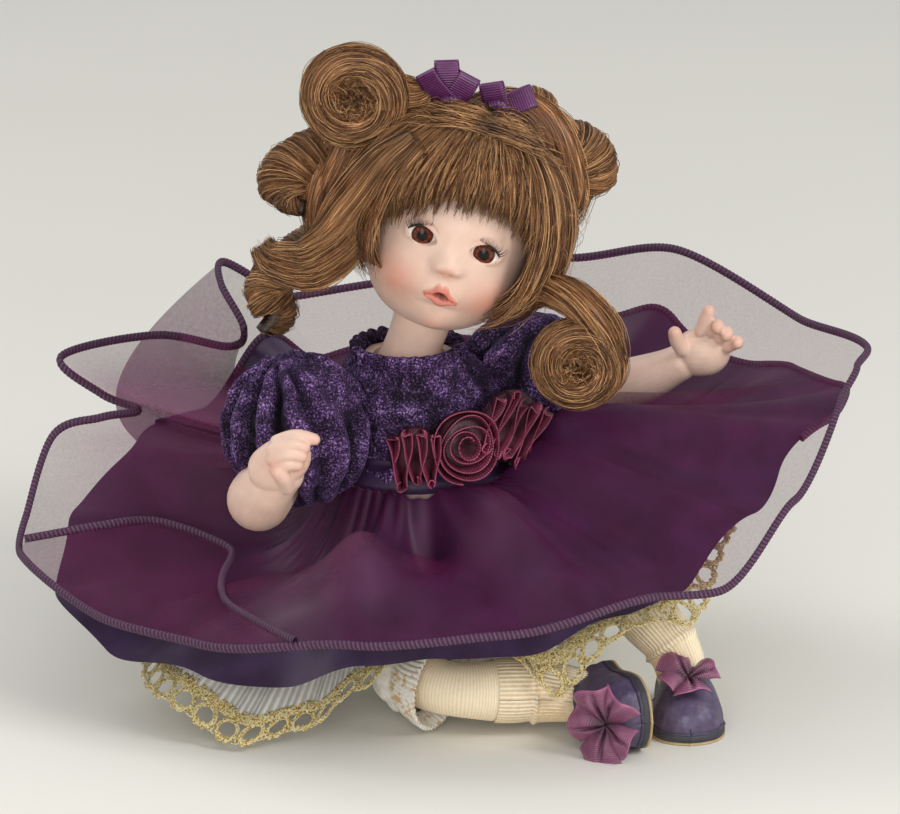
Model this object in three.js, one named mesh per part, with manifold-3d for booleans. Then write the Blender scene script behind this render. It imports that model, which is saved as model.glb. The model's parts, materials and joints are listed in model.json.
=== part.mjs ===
// Seated porcelain baby doll in a party dress. Millimetres, +Z up, the body faces -Y.
// The seat rests on the floor at the origin. Right and left are the doll's own.
import * as THREE from 'three';
import { mergeVertices } from 'three/addons/utils/BufferGeometryUtils.js';
import Module from 'manifold-3d';

const wasm = await Module();
wasm.setup();

// Fit
const CLEARANCE = 0.3;

// Torso: height of each section, half width, half depth
const NECK_HEIGHT = 66.5;
const TORSO_LEAN = 0.125;
const TORSO_WALL = 2.4;
const TORSO_SECTIONS = [
  [1.3, 13, 11],
  [6, 18.5, 15.5],
  [16, 20.5, 17],
  [30, 18.5, 15.5],
  [40, 15.4, 13.4],
  [46, 14.4, 12.6],
  [NECK_HEIGHT - 12.5, 16, 12.8],
  [NECK_HEIGHT - 7.5, 15.8, 12],
  [NECK_HEIGHT - 3.5, 13.4, 10.8],
  [NECK_HEIGHT + 1, 9.4, 9.2],
];
const SOCKET_WALL = 2;
const NECK_BALL = 7.2;
const NECK_OPENING = 4.6;
const SHOULDER_DROP = 10.5;
const SHOULDER_HEIGHT = NECK_HEIGHT - SHOULDER_DROP;
const SHOULDER_SPREAD = 19;
const SHOULDER_DEPTH = 3;
const ARM_BALL = 5.2;
const HIP_HEIGHT = 13;
const HIP_SPREAD = 10.5;
const HIP_DEPTH = -15;
const HIP_BALL = 6.6;

// Stringing
const HOOK_WIRE = 0.8;
const HOOK_EYE = 1.3;
const ELASTIC = 1.1;

// Head
const HEAD_ROLL = 17.5;
const HEAD_PITCH = 1;
const HEAD_YAW = -27;
const HEAD_RADII = [16.5, 17.5, 20.4];
const HEAD_CENTRE = 29.6;
const JAW_FULLNESS = 0.62;
const HEAD_WALL = 2.2;
const NECK_RADIUS = 5.6;
const NECK_BORE = 4;
const CROWN_OPENING = 9;
const EYE_RADIUS = 4.3;
const EYE_SPREAD = 6.4;
const EYE_DEPTH = -11.7;
const EYE_WINDOW = [3.3, 3, 2.3];

// Wig
const WIG_RADII = [23.5, 22.5, 25];
const WIG_OPENING = [14.6, 21];
const WIG_NAPE = 11;
const FRINGE_RADII = [19.6, 21, 23];
const FACE_WINDOW = [15.5, 13.4];
const BUN_RADIUS = 10.4;
const BUN_DEPTH = 12;
const COIL_RADIUS = 9.3;
const COIL_DEPTH = 11;

// Bodice and sleeves
const CLOTH = 1.2;
const BODICE_FOOT = 42.6;
const WAIST = BODICE_FOOT + 0.8;
const BODICE_TOP = NECK_HEIGHT + 2.7;
const SASH_HEIGHT = 7;
const SASH_CLOTH = 0.7;
const SLEEVE_SIDE = 18.9;
const SLEEVE_WALL = 1.4;
const PLACKET_WIDTH = 5;
const ROSE_RADIUS = 6.8;
const ROSE_DEPTH = 4.6;
const ROSE_BAND = 0.75;

// Skirts
const SKIRT_CLOTH = 0.7;
const LAYER_DROP = 2.8;
const LACE_SHARE = 0.13;
const GATHERS = 12;
const SKIRT_POINTS = 4 * GATHERS;

// Below the dress
const PANTALOON_CLOTH = 1;
const PANTALOON_TOP = 32;
const STOCKING_CLOTH = 0.7;
const SOLE_THICKNESS = 2.2;
const VAMP_RADII = [6.9, 11.6, 8.4];
const VAMP_CENTRE = -6.4;

const vec = (x, y, z) => new THREE.Vector3(x, y, z);
const mix = THREE.MathUtils.lerp;
const rad = THREE.MathUtils.degToRad;

function solid(points, faces) {
  let volume = 0;
  for (let i = 0; i < faces.length; i += 3) {
    const [a, b, c] = [points[faces[i]], points[faces[i + 1]], points[faces[i + 2]]];
    volume += a.dot(b.clone().cross(c));
  }
  const outward = volume > 0 ? faces : faces.toReversed();
  return new wasm.Manifold(new wasm.Mesh({
    numProp: 3,
    vertProperties: Float32Array.from(points.flatMap((point) => point.toArray())),
    triVerts: Uint32Array.from(outward),
  }));
}

function fromGeometry(geometry) {
  geometry.deleteAttribute('normal');
  geometry.deleteAttribute('uv');
  const merged = mergeVertices(geometry, 1e-4);
  const place = merged.getAttribute('position');
  const points = Array.from({ length: place.count }, (_, i) => (
    new THREE.Vector3().fromBufferAttribute(place, i)
  ));
  return solid(points, Array.from(merged.index.array));
}

// Closed body through equal rings of points: capped at its ends, or joined end to end.
function loft(rings, joined = false) {
  const around = rings[0].length;
  const points = rings.flat();
  const faces = [];
  const spans = joined ? rings.length : rings.length - 1;
  for (let i = 0; i < spans; i += 1) {
    const here = i * around;
    const next = ((i + 1) % rings.length) * around;
    for (let k = 0; k < around; k += 1) {
      const turn = (k + 1) % around;
      faces.push(here + k, here + turn, next + turn, here + k, next + turn, next + k);
    }
  }
  if (!joined) {
    const last = (rings.length - 1) * around;
    for (const base of [0, last]) {
      const centre = vec(0, 0, 0);
      for (let k = 0; k < around; k += 1) centre.add(points[base + k]);
      points.push(centre.divideScalar(around));
      for (let k = 0; k < around; k += 1) {
        const edge = [base + k, base + ((k + 1) % around)];
        if (base === 0) edge.reverse();
        faces.push(...edge, points.length - 1);
      }
    }
  }
  return solid(points, faces);
}

function ball(centre, radii, around = 10, down = 8) {
  const [rx, ry, rz] = Array.isArray(radii) ? radii : [radii, radii, radii];
  const geometry = new THREE.SphereGeometry(1, around, down);
  geometry.rotateX(Math.PI / 2);
  geometry.scale(rx, ry, rz);
  geometry.translate(centre.x, centre.y, centre.z);
  return fromGeometry(geometry);
}

function rod(from, to, radius, sides = 8) {
  const along = to.clone().sub(from);
  const geometry = new THREE.CylinderGeometry(radius, radius, along.length(), sides);
  geometry.applyQuaternion(new THREE.Quaternion().setFromUnitVectors(vec(0, 1, 0), along.normalize()));
  const middle = from.clone().add(to).multiplyScalar(0.5);
  geometry.translate(middle.x, middle.y, middle.z);
  return fromGeometry(geometry);
}

function block(low, high) {
  const geometry = new THREE.BoxGeometry(high.x - low.x, high.y - low.y, high.z - low.z);
  geometry.translate((low.x + high.x) / 2, (low.y + high.y) / 2, (low.z + high.z) / 2);
  return fromGeometry(geometry);
}

function turned(profile, sides = 14) {
  return fromGeometry(new THREE.LatheGeometry(profile.map(([x, y]) => new THREE.Vector2(x, y)), sides));
}

// Tube through stations [x, y, z, half width, half depth]; the width lies along a given direction.
function tube(stations, options = {}) {
  const { sides = 8, steps = 10, lie = vec(0, 0, 1), grow = 0, blunt = false, twist = null } = options;
  const path = new THREE.CatmullRomCurve3(stations.map(([x, y, z]) => vec(x, y, z)));
  const girth = new THREE.CatmullRomCurve3(stations.map(([, , , a, b = a]) => vec(a, b, 0)));
  const rings = [];
  const ring = (share, slide, shrink) => {
    const along = path.getTangent(share);
    const size = girth.getPoint(share);
    const across = lie.clone().addScaledVector(along, -lie.dot(along)).normalize();
    const other = along.clone().cross(across);
    const reach = Math.min(size.x, size.y) + grow;
    const centre = path.getPoint(share).addScaledVector(along, slide * reach);
    return Array.from({ length: sides }, (_, k) => {
      const angle = (2 * Math.PI * k) / sides;
      const ridge = twist ? 1 + twist.ridge * Math.cos(2 * angle - 2 * Math.PI * twist.turns * share) : 1;
      return centre.clone()
        .addScaledVector(across, Math.cos(angle) * (size.x * ridge + grow) * shrink)
        .addScaledVector(other, Math.sin(angle) * (size.y * ridge + grow) * shrink);
    });
  };
  if (!blunt) rings.push(ring(0, -0.8, 0.4), ring(0, -0.45, 0.8));
  for (let i = 0; i <= steps; i += 1) rings.push(ring(i / steps, 0, 1));
  if (!blunt) rings.push(ring(1, 0.45, 0.8), ring(1, 0.8, 0.4));
  return loft(rings);
}

// Cloth of one thickness over a surface that closes on itself around the body.
function wrap(surface, around, rows, thickness) {
  const sides = [1, -1].map((side) => Array.from({ length: rows + 1 }, (_, j) => (
    Array.from({ length: around }, (__, k) => {
      const [u, v] = [k / around, j / rows];
      const tiny = 0.002;
      const along = surface(u + tiny, v).sub(surface(u - tiny, v));
      const down = surface(u, v + tiny).sub(surface(u, v - tiny));
      return surface(u, v).addScaledVector(along.cross(down).normalize(), (side * thickness) / 2);
    })
  )));
  return loft([...sides[0], ...sides[1].toReversed()], true);
}

const all = (bodies) => bodies.reduce((sum, body) => sum.add(body));
const without = (body, others) => others.reduce((rest, other) => rest.subtract(other), body);
const ease = (t) => t * t * (3 - 2 * t);

// Value of one column of a table of bearings, eased from row to row around the body.
function roundTable(rows, bearing, column) {
  const turn = (from, to) => THREE.MathUtils.euclideanModulo(to - from, 360);
  let here = rows.length - 1;
  rows.forEach((row, i) => {
    if (turn(row[0], bearing) < turn(rows[here][0], bearing)) here = i;
  });
  const [before, after] = [rows[here], rows[(here + 1) % rows.length]];
  const share = turn(before[0], bearing) / turn(before[0], after[0]);
  return mix(before[column], after[column], ease(share));
}

// Colours and finishes
const look = (color, roughness, metalness = 0) => (
  new THREE.MeshStandardMaterial({ color, roughness, metalness })
);
const BISQUE = look('#f0d2c3', 0.6);
const GLASS = look('#4a2416', 0.05);
const HAIR = look('#6b431f', 0.55);
const RIBBON = look('#5c2358', 0.5);
const VELVET = look('#2b1a42', 0.95);
const SATIN = look('#4a3468', 0.4);
const ROSE_SATIN = look('#6e2d4b', 0.4);
const ORGANZA = look('#5f3560', 0.5);
const TULLE = look('#eee9dd', 0.8);
const GOLD = look('#bd9428', 0.35, 0.8);
const COTTON = look('#efe8d8', 0.9);
const KNIT = look('#efdcbd', 0.9);
const SHOE = look('#4b3d60', 0.55);
const SOLE = look('#3c3e42', 0.8);
const ELASTIC_CORD = look('#ded8ca', 0.9);
const STEEL = look('#9a9a98', 0.35, 1);

const doll = new THREE.Group();
doll.name = 'doll';

function piece(name, body, material, parent = doll) {
  const main = body.decompose().reduce((most, part) => (part.volume() > most.volume() ? part : most));
  const data = main.getMesh();
  const geometry = new THREE.BufferGeometry();
  geometry.setAttribute('position', new THREE.BufferAttribute(Float32Array.from(data.vertProperties), 3));
  geometry.setIndex(new THREE.BufferAttribute(Uint32Array.from(data.triVerts), 1));
  geometry.computeVertexNormals();
  const mesh = new THREE.Mesh(geometry, material);
  mesh.name = name;
  parent.add(mesh);
}

// Torso and what is inside it
const centreLine = (z) => -TORSO_LEAN * z;

function torsoSize(z, column) {
  const level = THREE.MathUtils.clamp(z, TORSO_SECTIONS[0][0], TORSO_SECTIONS.at(-1)[0]);
  const above = Math.max(1, TORSO_SECTIONS.findIndex((row) => row[0] >= level));
  const [low, high] = [TORSO_SECTIONS[above - 1], TORSO_SECTIONS[above]];
  return mix(low[column], high[column], (level - low[0]) / (high[0] - low[0]));
}

function torsoForm(grow, low, high, around = 12) {
  const levels = TORSO_SECTIONS.map((row) => row[0]);
  const heights = [low, ...levels.filter((z) => z > low + 1 && z < high - 1), high];
  return loft(heights.map((z) => Array.from({ length: around }, (_, k) => {
    const angle = (2 * Math.PI * k) / around;
    return vec(
      centreLine(z) + (torsoSize(z, 1) + grow) * Math.cos(angle),
      (torsoSize(z, 2) + grow) * Math.sin(angle),
      z,
    );
  })));
}

const torsoFoot = TORSO_SECTIONS[0][0];
const torsoTop = TORSO_SECTIONS.at(-1)[0];
const neck = vec(centreLine(NECK_HEIGHT), 0, NECK_HEIGHT);
const sides = { right: -1, left: 1 };
const shoulder = (side) => vec(
  centreLine(SHOULDER_HEIGHT) + sides[side] * SHOULDER_SPREAD,
  SHOULDER_DEPTH,
  SHOULDER_HEIGHT,
);
const hip = (side) => vec(centreLine(HIP_HEIGHT) + sides[side] * HIP_SPREAD, HIP_DEPTH, HIP_HEIGHT);

const inward = (side) => vec(-sides[side], 0, 0);
const hipInward = (side) => vec(-sides[side] * 0.8, 0.6, 0);
const along = (start, direction, distance) => start.clone().addScaledVector(direction, distance);

const head = new THREE.Group();
head.name = 'head_group';
head.position.copy(neck);
head.rotation.set(rad(HEAD_PITCH), rad(HEAD_ROLL), rad(HEAD_YAW), 'ZYX');
doll.add(head);
const headAxis = vec(0, 0, 1).applyEuler(head.rotation);

const neckCup = ball(neck, NECK_BALL + CLEARANCE + SOCKET_WALL)
  .intersect(torsoForm(-0.5, torsoFoot, torsoTop));
const hollow = torsoForm(-TORSO_WALL, torsoFoot + TORSO_WALL, NECK_HEIGHT - NECK_BALL, 10);
piece('torso', without(torsoForm(0, torsoFoot, torsoTop).subtract(hollow).add(neckCup), [
  ball(neck, NECK_BALL + CLEARANCE, 14, 10),
  rod(neck, vec(neck.x, 0, NECK_HEIGHT - NECK_BALL - 2 * SOCKET_WALL), NECK_OPENING, 10),
  ...Object.keys(sides).flatMap((side) => [
    ball(shoulder(side), ARM_BALL + CLEARANCE),
    rod(shoulder(side), along(shoulder(side), inward(side), 2 * ARM_BALL), HOOK_EYE + HOOK_WIRE + CLEARANCE),
    ball(hip(side), HIP_BALL + CLEARANCE),
    rod(hip(side), along(hip(side), hipInward(side), 2 * HIP_BALL), HOOK_EYE + HOOK_WIRE + CLEARANCE),
  ]),
]), BISQUE);

// Wire hook: a shank from one point to another with an eye at its end.
function hook(from, to, flat) {
  const along = to.clone().sub(from).normalize();
  const eye = new THREE.TorusGeometry(HOOK_EYE, HOOK_WIRE * 0.7, 4, 7);
  eye.applyQuaternion(new THREE.Quaternion().setFromUnitVectors(vec(0, 0, 1), flat));
  const centre = to.clone().addScaledVector(along, HOOK_EYE);
  eye.translate(centre.x, centre.y, centre.z);
  return rod(from, to, HOOK_WIRE, 6).add(fromGeometry(eye));
}

const hookReach = (ballRadius) => ballRadius + CLEARANCE;
const eyeReach = 2 * HOOK_EYE + HOOK_WIRE * 0.7;
const station = (point, ...sizes) => [...point.toArray(), ...sizes];

const cordReach = (ballRadius) => hookReach(ballRadius) + eyeReach + CLEARANCE + ELASTIC;
const armEnd = (side) => along(shoulder(side), inward(side), cordReach(ARM_BALL));
const armMiddle = vec(centreLine(SHOULDER_HEIGHT), SHOULDER_DEPTH + 4.6, SHOULDER_HEIGHT);
piece('arm_elastic', tube([
  station(armEnd('right'), ELASTIC),
  station(armEnd('right').lerp(armMiddle, 0.55).add(vec(0, 1.6, 0)), ELASTIC),
  station(armMiddle, ELASTIC),
  station(armEnd('left').lerp(armMiddle, 0.55).add(vec(0, 1.6, 0)), ELASTIC),
  station(armEnd('left'), ELASTIC),
], { sides: 6, steps: 8 }), ELASTIC_CORD);

const hipEnd = (side) => along(hip(side), hipInward(side), cordReach(HIP_BALL));
const hipMiddle = hipEnd('right').lerp(hipEnd('left'), 0.5);
piece('leg_elastic', tube([
  station(hipEnd('right'), ELASTIC),
  station(hipMiddle, ELASTIC),
  station(hipEnd('left'), ELASTIC),
], { sides: 6, steps: 2 }), ELASTIC_CORD);

const neckHookReach = NECK_BALL + 3.4;
const bodyTop = along(neck, headAxis, -(neckHookReach + eyeReach + CLEARANCE + ELASTIC));
piece('body_elastic', tube([
  station(hipMiddle.clone().add(vec(0, 0, 2 * ELASTIC + CLEARANCE)), ELASTIC),
  station(hipMiddle.clone().lerp(bodyTop, 0.5), ELASTIC),
  station(bodyTop, ELASTIC),
], { sides: 6, steps: 4, lie: vec(1, 0, 0) }), ELASTIC_CORD);

const neckButton = rod(vec(0, 0, -2), vec(0, 0, 0), NECK_BORE - CLEARANCE, 10);
piece('neck_hook', neckButton.add(hook(vec(0, 0, -1), vec(0, 0, -neckHookReach), vec(0, 1, 0))), STEEL, head);

// Head, in its own frame: origin at the neck ball, face toward -Y
const headMiddle = vec(0, 0, HEAD_CENTRE);
const FACE_FORMS = [
  [-8.2, -7.4, 6, 1.5],
  [8.2, -7.4, 6, 1.5],
  [0, -3.6, 2.1, 2.9],
  [0, -8.2, 2.9, 1.5],
  [0, -14.2, 4, 1.9],
  [0, 9, 9, 0.6],
  [-6.4, 0.4, 3.6, -0.5],
  [6.4, 0.4, 3.6, -0.5],
];

function skull(grow) {
  const [around, down] = [20, 12];
  const [rx, ry, rz] = HEAD_RADII.map((radius) => radius + grow);
  const rings = [];
  for (let j = 1; j < down; j += 1) {
    const fall = (Math.PI * j) / down;
    rings.push(Array.from({ length: around }, (_, k) => {
      const angle = (2 * Math.PI * k) / around;
      const girth = fall > Math.PI / 2 ? Math.sin(fall) ** JAW_FULLNESS : Math.sin(fall);
      const way = vec(girth * Math.cos(angle), girth * Math.sin(angle), Math.cos(fall));
      const point = vec(way.x * rx, way.y * ry, way.z * rz);
      const form = FACE_FORMS.reduce((sum, [x, z, spread, height]) => {
        const distance = (point.x - x) ** 2 + (point.z - z) ** 2;
        return sum + height * Math.exp(-distance / spread ** 2);
      }, 0);
      if (way.y < 0) point.addScaledVector(way, form * ease(Math.min(1, -1.6 * way.y)));
      return point.add(headMiddle);
    }));
  }
  return loft(rings);
}

const eyePlace = (side) => vec(sides[side] * EYE_SPREAD, EYE_DEPTH, HEAD_CENTRE);
const headHollow = ball(headMiddle, HEAD_RADII.map((radius) => radius - HEAD_WALL), 12, 8);
const crownTop = HEAD_CENTRE + HEAD_RADII[2];
const crownCut = (radius) => rod(vec(0, 0, HEAD_CENTRE), vec(0, 0, crownTop + 2), radius, 12);
const skullForm = skull(0);
const neckForm = turned([
  [0, -NECK_BALL],
  [NECK_BALL * 0.55, -NECK_BALL * 0.835],
  [NECK_BALL * 0.9, -NECK_BALL * 0.436],
  [NECK_BALL, 0],
  [NECK_BALL * 0.93, NECK_BALL * 0.37],
  [NECK_RADIUS, NECK_BALL * 0.8],
  [NECK_RADIUS, NECK_BALL * 1.4],
  [NECK_RADIUS + 1.4, NECK_BALL * 2.2],
  [0, NECK_BALL * 2.2],
], 14);
const neckTurned = neckForm.rotate([90, 0, 0]);
const eyeWindow = (side) => ball(eyePlace(side).add(vec(0, -EYE_RADIUS, 0)), EYE_WINDOW, 10, 6);
piece('head', without(skullForm.add(neckTurned), [
  headHollow,
  crownCut(CROWN_OPENING),
  rod(vec(0, 0, -2 - CLEARANCE), vec(0, 0, HEAD_CENTRE - 8), NECK_BORE, 10),
  rod(vec(0, 0, -NECK_BALL - 1), vec(0, 0, 0), HOOK_WIRE + 2 * CLEARANCE, 8),
  ball(eyePlace('right'), EYE_RADIUS + CLEARANCE),
  ball(eyePlace('left'), EYE_RADIUS + CLEARANCE),
  eyeWindow('right'),
  eyeWindow('left'),
  ball(vec(0, -HEAD_RADII[1] - 1.2, HEAD_CENTRE - 8.2), [2.4, 2, 0.6], 8, 4),
]), BISQUE, head);
piece('pate', skullForm.subtract(headHollow).intersect(crownCut(CROWN_OPENING - CLEARANCE)), COTTON, head);
piece('eye_right', ball(eyePlace('right'), EYE_RADIUS, 8, 7), GLASS, head);
piece('eye_left', ball(eyePlace('left'), EYE_RADIUS, 8, 7), GLASS, head);

// Wig: every curl is cut from the cap with a clearance, so each one sits in its own seat
const curlLie = vec(0, 1, 0);
const ringlet = (stations, turns, steps, grow) => tube(stations, {
  sides: 6, steps, lie: curlLie, grow, twist: { ridge: 0.12, turns },
});

// Curl seen end on: a roll with a raised rim and a sunk middle, facing the front.
function roll(centre, radius, depth, grow) {
  const outer = radius + grow;
  const back = -depth / 2 - grow;
  const front = depth / 2 + grow;
  const body = turned([
    [0, back],
    [outer * 0.7, back],
    [outer, back * 0.5],
    [outer, front * 0.4],
    [outer * 0.86, front],
    [outer * 0.66, front * 0.92],
    [outer * 0.5, front * 0.5],
    [0, front * 0.4],
  ], 14);
  return body.rotate([180, 0, 0]).translate(centre.toArray());
}

const curls = {
  cheek_lock: (grow) => tube([
    [-18, -12.5, 41, 3.2, 2.4],
    [-19, -12.5, 30, 3.4, 2.4],
    [-19.5, -10.5, 20, 3.4, 2.4],
    [-23, -7, 13, 3.4, 2.4],
    [-29, -3.6, 12, 2.6, 2.2],
  ], { sides: 8, steps: 10, lie: vec(1, 0.3, 0.6), grow }),
  bun: (grow) => roll(vec(-27, -2, 49.6), BUN_RADIUS, BUN_DEPTH, grow),
  curl_right_upper: (grow) => ringlet([
    [-21.6, 6.6, 36.4, 3.6],
    [-31, 5, 31.5, 4.6],
    [-34, 3.5, 26, 5.2],
    [-31, 2.5, 21.5, 4.2],
  ], 2, 9, grow),
  ringlet_right_lower: (grow) => ringlet([
    [-19.4, 8, 21, 3],
    [-25, 7, 15.6, 3.4],
    [-28.5, 6, 10, 4.2],
    [-31, 4.6, 4, 4.6],
    [-27.8, 3.6, -0.6, 4.4],
    [-29.4, 1.6, -4.6, 3.4],
  ], 2.5, 11, grow),
  curl_left_top: (grow) => ringlet([
    [2.4, 13, 50.6, 3.8],
    [8.5, 12.4, 51.6, 4.6],
    [13.4, 12, 49.6, 4],
  ], 1.5, 7, grow),
  ringlet_left_outer: (grow) => ringlet([
    [19, 9.5, 45, 3.6],
    [24.4, 8.6, 44.6, 4.2],
    [26.6, 7.4, 39.4, 4],
    [24.2, 7, 34.4, 3],
  ], 2, 9, grow),
  coil_left: (grow) => roll(vec(31.4, -15, 14.6), COIL_RADIUS, COIL_DEPTH, grow).add(tube([
    [18, -5, 20, 2.6],
    [21, -9, 25.5, 3],
    [27, -13, 26.4, 3.2],
    [34, -15, 22, 3.2],
  ], { sides: 8, steps: 7, lie: curlLie, grow })),
};

const grownCurls = Object.values(curls).map((curl) => curl(CLEARANCE));
const [openWidth, openHeight] = WIG_OPENING;
const [windowWidth, windowHeight] = FACE_WINDOW;
const faceCut = (width, height) => {
  const geometry = new THREE.CylinderGeometry(1, 1, 40, 20);
  geometry.scale(width, 1, height);
  geometry.translate(0, -20, HEAD_CENTRE - 6);
  return fromGeometry(geometry);
};
const wide = 60;
const below = (z) => block(vec(-wide, -wide, -wide), vec(wide, wide, z));
const headSeat = skull(2 * CLEARANCE);
piece('wig_cap', without(ball(headMiddle, WIG_RADII, 14, 9), [
  headSeat,
  faceCut(openWidth, openHeight),
  below(WIG_NAPE),
  rod(vec(0, 0, 0), vec(0, 0, WIG_NAPE + 9), HEAD_RADII[0] - 3.5, 14),
  ...grownCurls,
]), HAIR, head);
piece('fringe', without(ball(headMiddle, FRINGE_RADII, 16, 11), [
  headSeat,
  faceCut(windowWidth, windowHeight),
  below(HEAD_CENTRE),
  ...grownCurls,
]).intersect(faceCut(openWidth - CLEARANCE, openHeight - CLEARANCE)), HAIR, head);
for (const [name, curl] of Object.entries(curls)) piece(name, curl(0), HAIR, head);

// Hair ribbon: two loops and a knot resting on the crown.
function hairBow(x, y) {
  const [rx, ry, rz] = WIG_RADII;
  const rise = HEAD_CENTRE + rz * Math.sqrt(1 - (x / rx) ** 2 - (y / ry) ** 2) + CLEARANCE + 2.6;
  const loop = (side) => tube([
    [x, y, rise, 0.9, 1.2],
    [x + side * 2.4, y, rise + 0.6, 2, 1],
    [x + side * 5, y, rise + 1.2, 2.8, 0.9],
  ], { sides: 6, steps: 3, lie: vec(-side * 0.4, 0, 1) });
  return all([loop(-1), loop(1), ball(vec(x, y, rise), [1.6, 1.6, 1.5], 6, 4)]);
}
piece('hair_bow_right', hairBow(-8, 5), RIBBON, head);
piece('hair_bow_left', hairBow(4.2, 4), RIBBON, head);

// Arms: bent limbs with hands, strung through the shoulders
const armForms = {
  right: {
    limb: [
      station(shoulder('right'), ARM_BALL),
      [-36, -2.5, 50, 5.4],
      [-45, -8.7, 44.8, 6.4],
      [-46.6, -15, 48.5, 5.6],
      [-45, -19.2, 52.6, 4],
      [-43, -21.6, 56, 4.6, 3.2],
    ],
    fingers: [
      [[-42.4, -19.8, 57.6, 1.5], [-39.4, -19.6, 60.6, 1.5], [-36.9, -21, 60.2, 1.3]],
      [[-41.6, -21.2, 58, 1.5], [-38, -21.8, 60.8, 1.5], [-35.6, -23.4, 60, 1.3]],
      [[-41, -22.8, 57.4, 1.5], [-37.4, -24.2, 59.4, 1.5], [-35.4, -25.6, 58.2, 1.3]],
      [[-41.2, -24, 56, 1.4], [-38.2, -26, 57, 1.4], [-36.8, -27, 55.8, 1.2]],
      [[-43.6, -24, 54.6, 1.6], [-41.2, -26.8, 53.8, 1.6], [-39.2, -27.8, 53.8, 1.4]],
    ],
    lie: vec(0.55, -0.75, 0.2),
    puff: [vec(-33, -1.5, 56), [15.5, 16.5, 16]],
  },
  left: {
    limb: [
      station(shoulder('left'), ARM_BALL),
      [22, 4, 53.8, 5.2],
      [32, 3, 52, 5.8],
      [41, -3.5, 56, 5],
      [46.8, -8.4, 60, 3.8],
      [50, -11, 63, 4.6, 3],
    ],
    fingers: [
      [[50, -12, 65.6, 1.5], [50.6, -13.4, 69.6, 1.5], [50.8, -14.2, 73, 1.2]],
      [[51.8, -12.2, 65.4, 1.5], [53.4, -13.8, 68.8, 1.5], [53.8, -16, 69.6, 1.3]],
      [[53, -12.4, 64.2, 1.5], [55.8, -13.8, 66.4, 1.5], [56.4, -16.2, 66.4, 1.3]],
      [[53.4, -12, 62.4, 1.4], [56.4, -13.4, 63.2, 1.4], [57, -15.6, 63, 1.2]],
      [[47.8, -11.6, 63.4, 1.6], [45.4, -13, 66, 1.6], [44.6, -13.8, 68.2, 1.3]],
    ],
    lie: vec(0.6, 0.5, -0.6),
    puff: [vec(20.5, 3, 57), [16, 14, 14]],
  },
};

const limbForm = ({ limb, lie }, grow) => tube(limb, { sides: 8, steps: 9, lie, grow });
const armSeat = (side) => limbForm(armForms[side], 2 * CLEARANCE);

for (const side of Object.keys(sides)) {
  const { fingers, puff } = armForms[side];
  const centre = shoulder(side);
  const bore = rod(centre, along(centre, inward(side), 2 * ARM_BALL), HOOK_WIRE + CLEARANCE, 8);
  const hand = fingers.map((finger) => tube(finger, { sides: 5, steps: 2, lie: vec(0.3, 0.7, 0.65) }));
  piece(`arm_${side}`, all([limbForm(armForms[side], 0), ...hand]).subtract(bore), BISQUE);
  const shank = [CLEARANCE, hookReach(ARM_BALL)].map((reach) => along(centre, inward(side), reach));
  piece(`arm_hook_${side}`, hook(...shank, vec(0, 0, 1)), STEEL);
  const [middle, radii] = puff;
  const edge = centreLine(SHOULDER_HEIGHT) + sides[side] * SLEEVE_SIDE;
  const bodiceSide = (wall) => (sides[side] < 0
    ? block(vec(edge - wall, -wide, 0), vec(edge + wide, wide, 2 * wide))
    : block(vec(edge - wide, -wide, 0), vec(edge + wall, wide, 2 * wide)));
  piece(`sleeve_${side}`, without(ball(middle, radii, 14, 8), [
    ball(middle, radii.map((radius) => radius - SLEEVE_WALL), 10, 7).subtract(bodiceSide(SLEEVE_WALL)),
    armSeat(side),
    bodiceSide(0),
  ]), VELVET);
}

// Bodice, its closure at the back, and the sash with three ribbon roses
const overTorso = (layers) => CLEARANCE + layers;
const bodiceForm = (grow) => torsoForm(overTorso(CLOTH) + grow, BODICE_FOOT, BODICE_TOP);
piece('bodice', without(bodiceForm(0), [
  torsoForm(CLEARANCE, BODICE_FOOT - 5, BODICE_TOP + 1),
  ball(shoulder('right'), ARM_BALL + 2 * CLOTH),
  ball(shoulder('left'), ARM_BALL + 2 * CLOTH),
]), VELVET);

const plackFoot = BODICE_FOOT + SASH_HEIGHT + 2 * CLEARANCE;
const plackMiddle = centreLine((plackFoot + BODICE_TOP) / 2);
piece('back_placket', bodiceForm(CLEARANCE + SASH_CLOTH).subtract(bodiceForm(CLEARANCE)).intersect(block(
  vec(plackMiddle - PLACKET_WIDTH / 2, 0, plackFoot),
  vec(plackMiddle + PLACKET_WIDTH / 2, wide, BODICE_TOP - 2),
)), VELVET);

const sashTop = BODICE_FOOT + SASH_HEIGHT;
piece('sash', without(torsoForm(overTorso(CLOTH) + CLEARANCE + SASH_CLOTH, BODICE_FOOT, sashTop), [
  torsoForm(overTorso(CLOTH) + CLEARANCE, BODICE_FOOT - 1, sashTop + 1),
  ...Object.keys(sides).map(armSeat),
]), SATIN);

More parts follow.
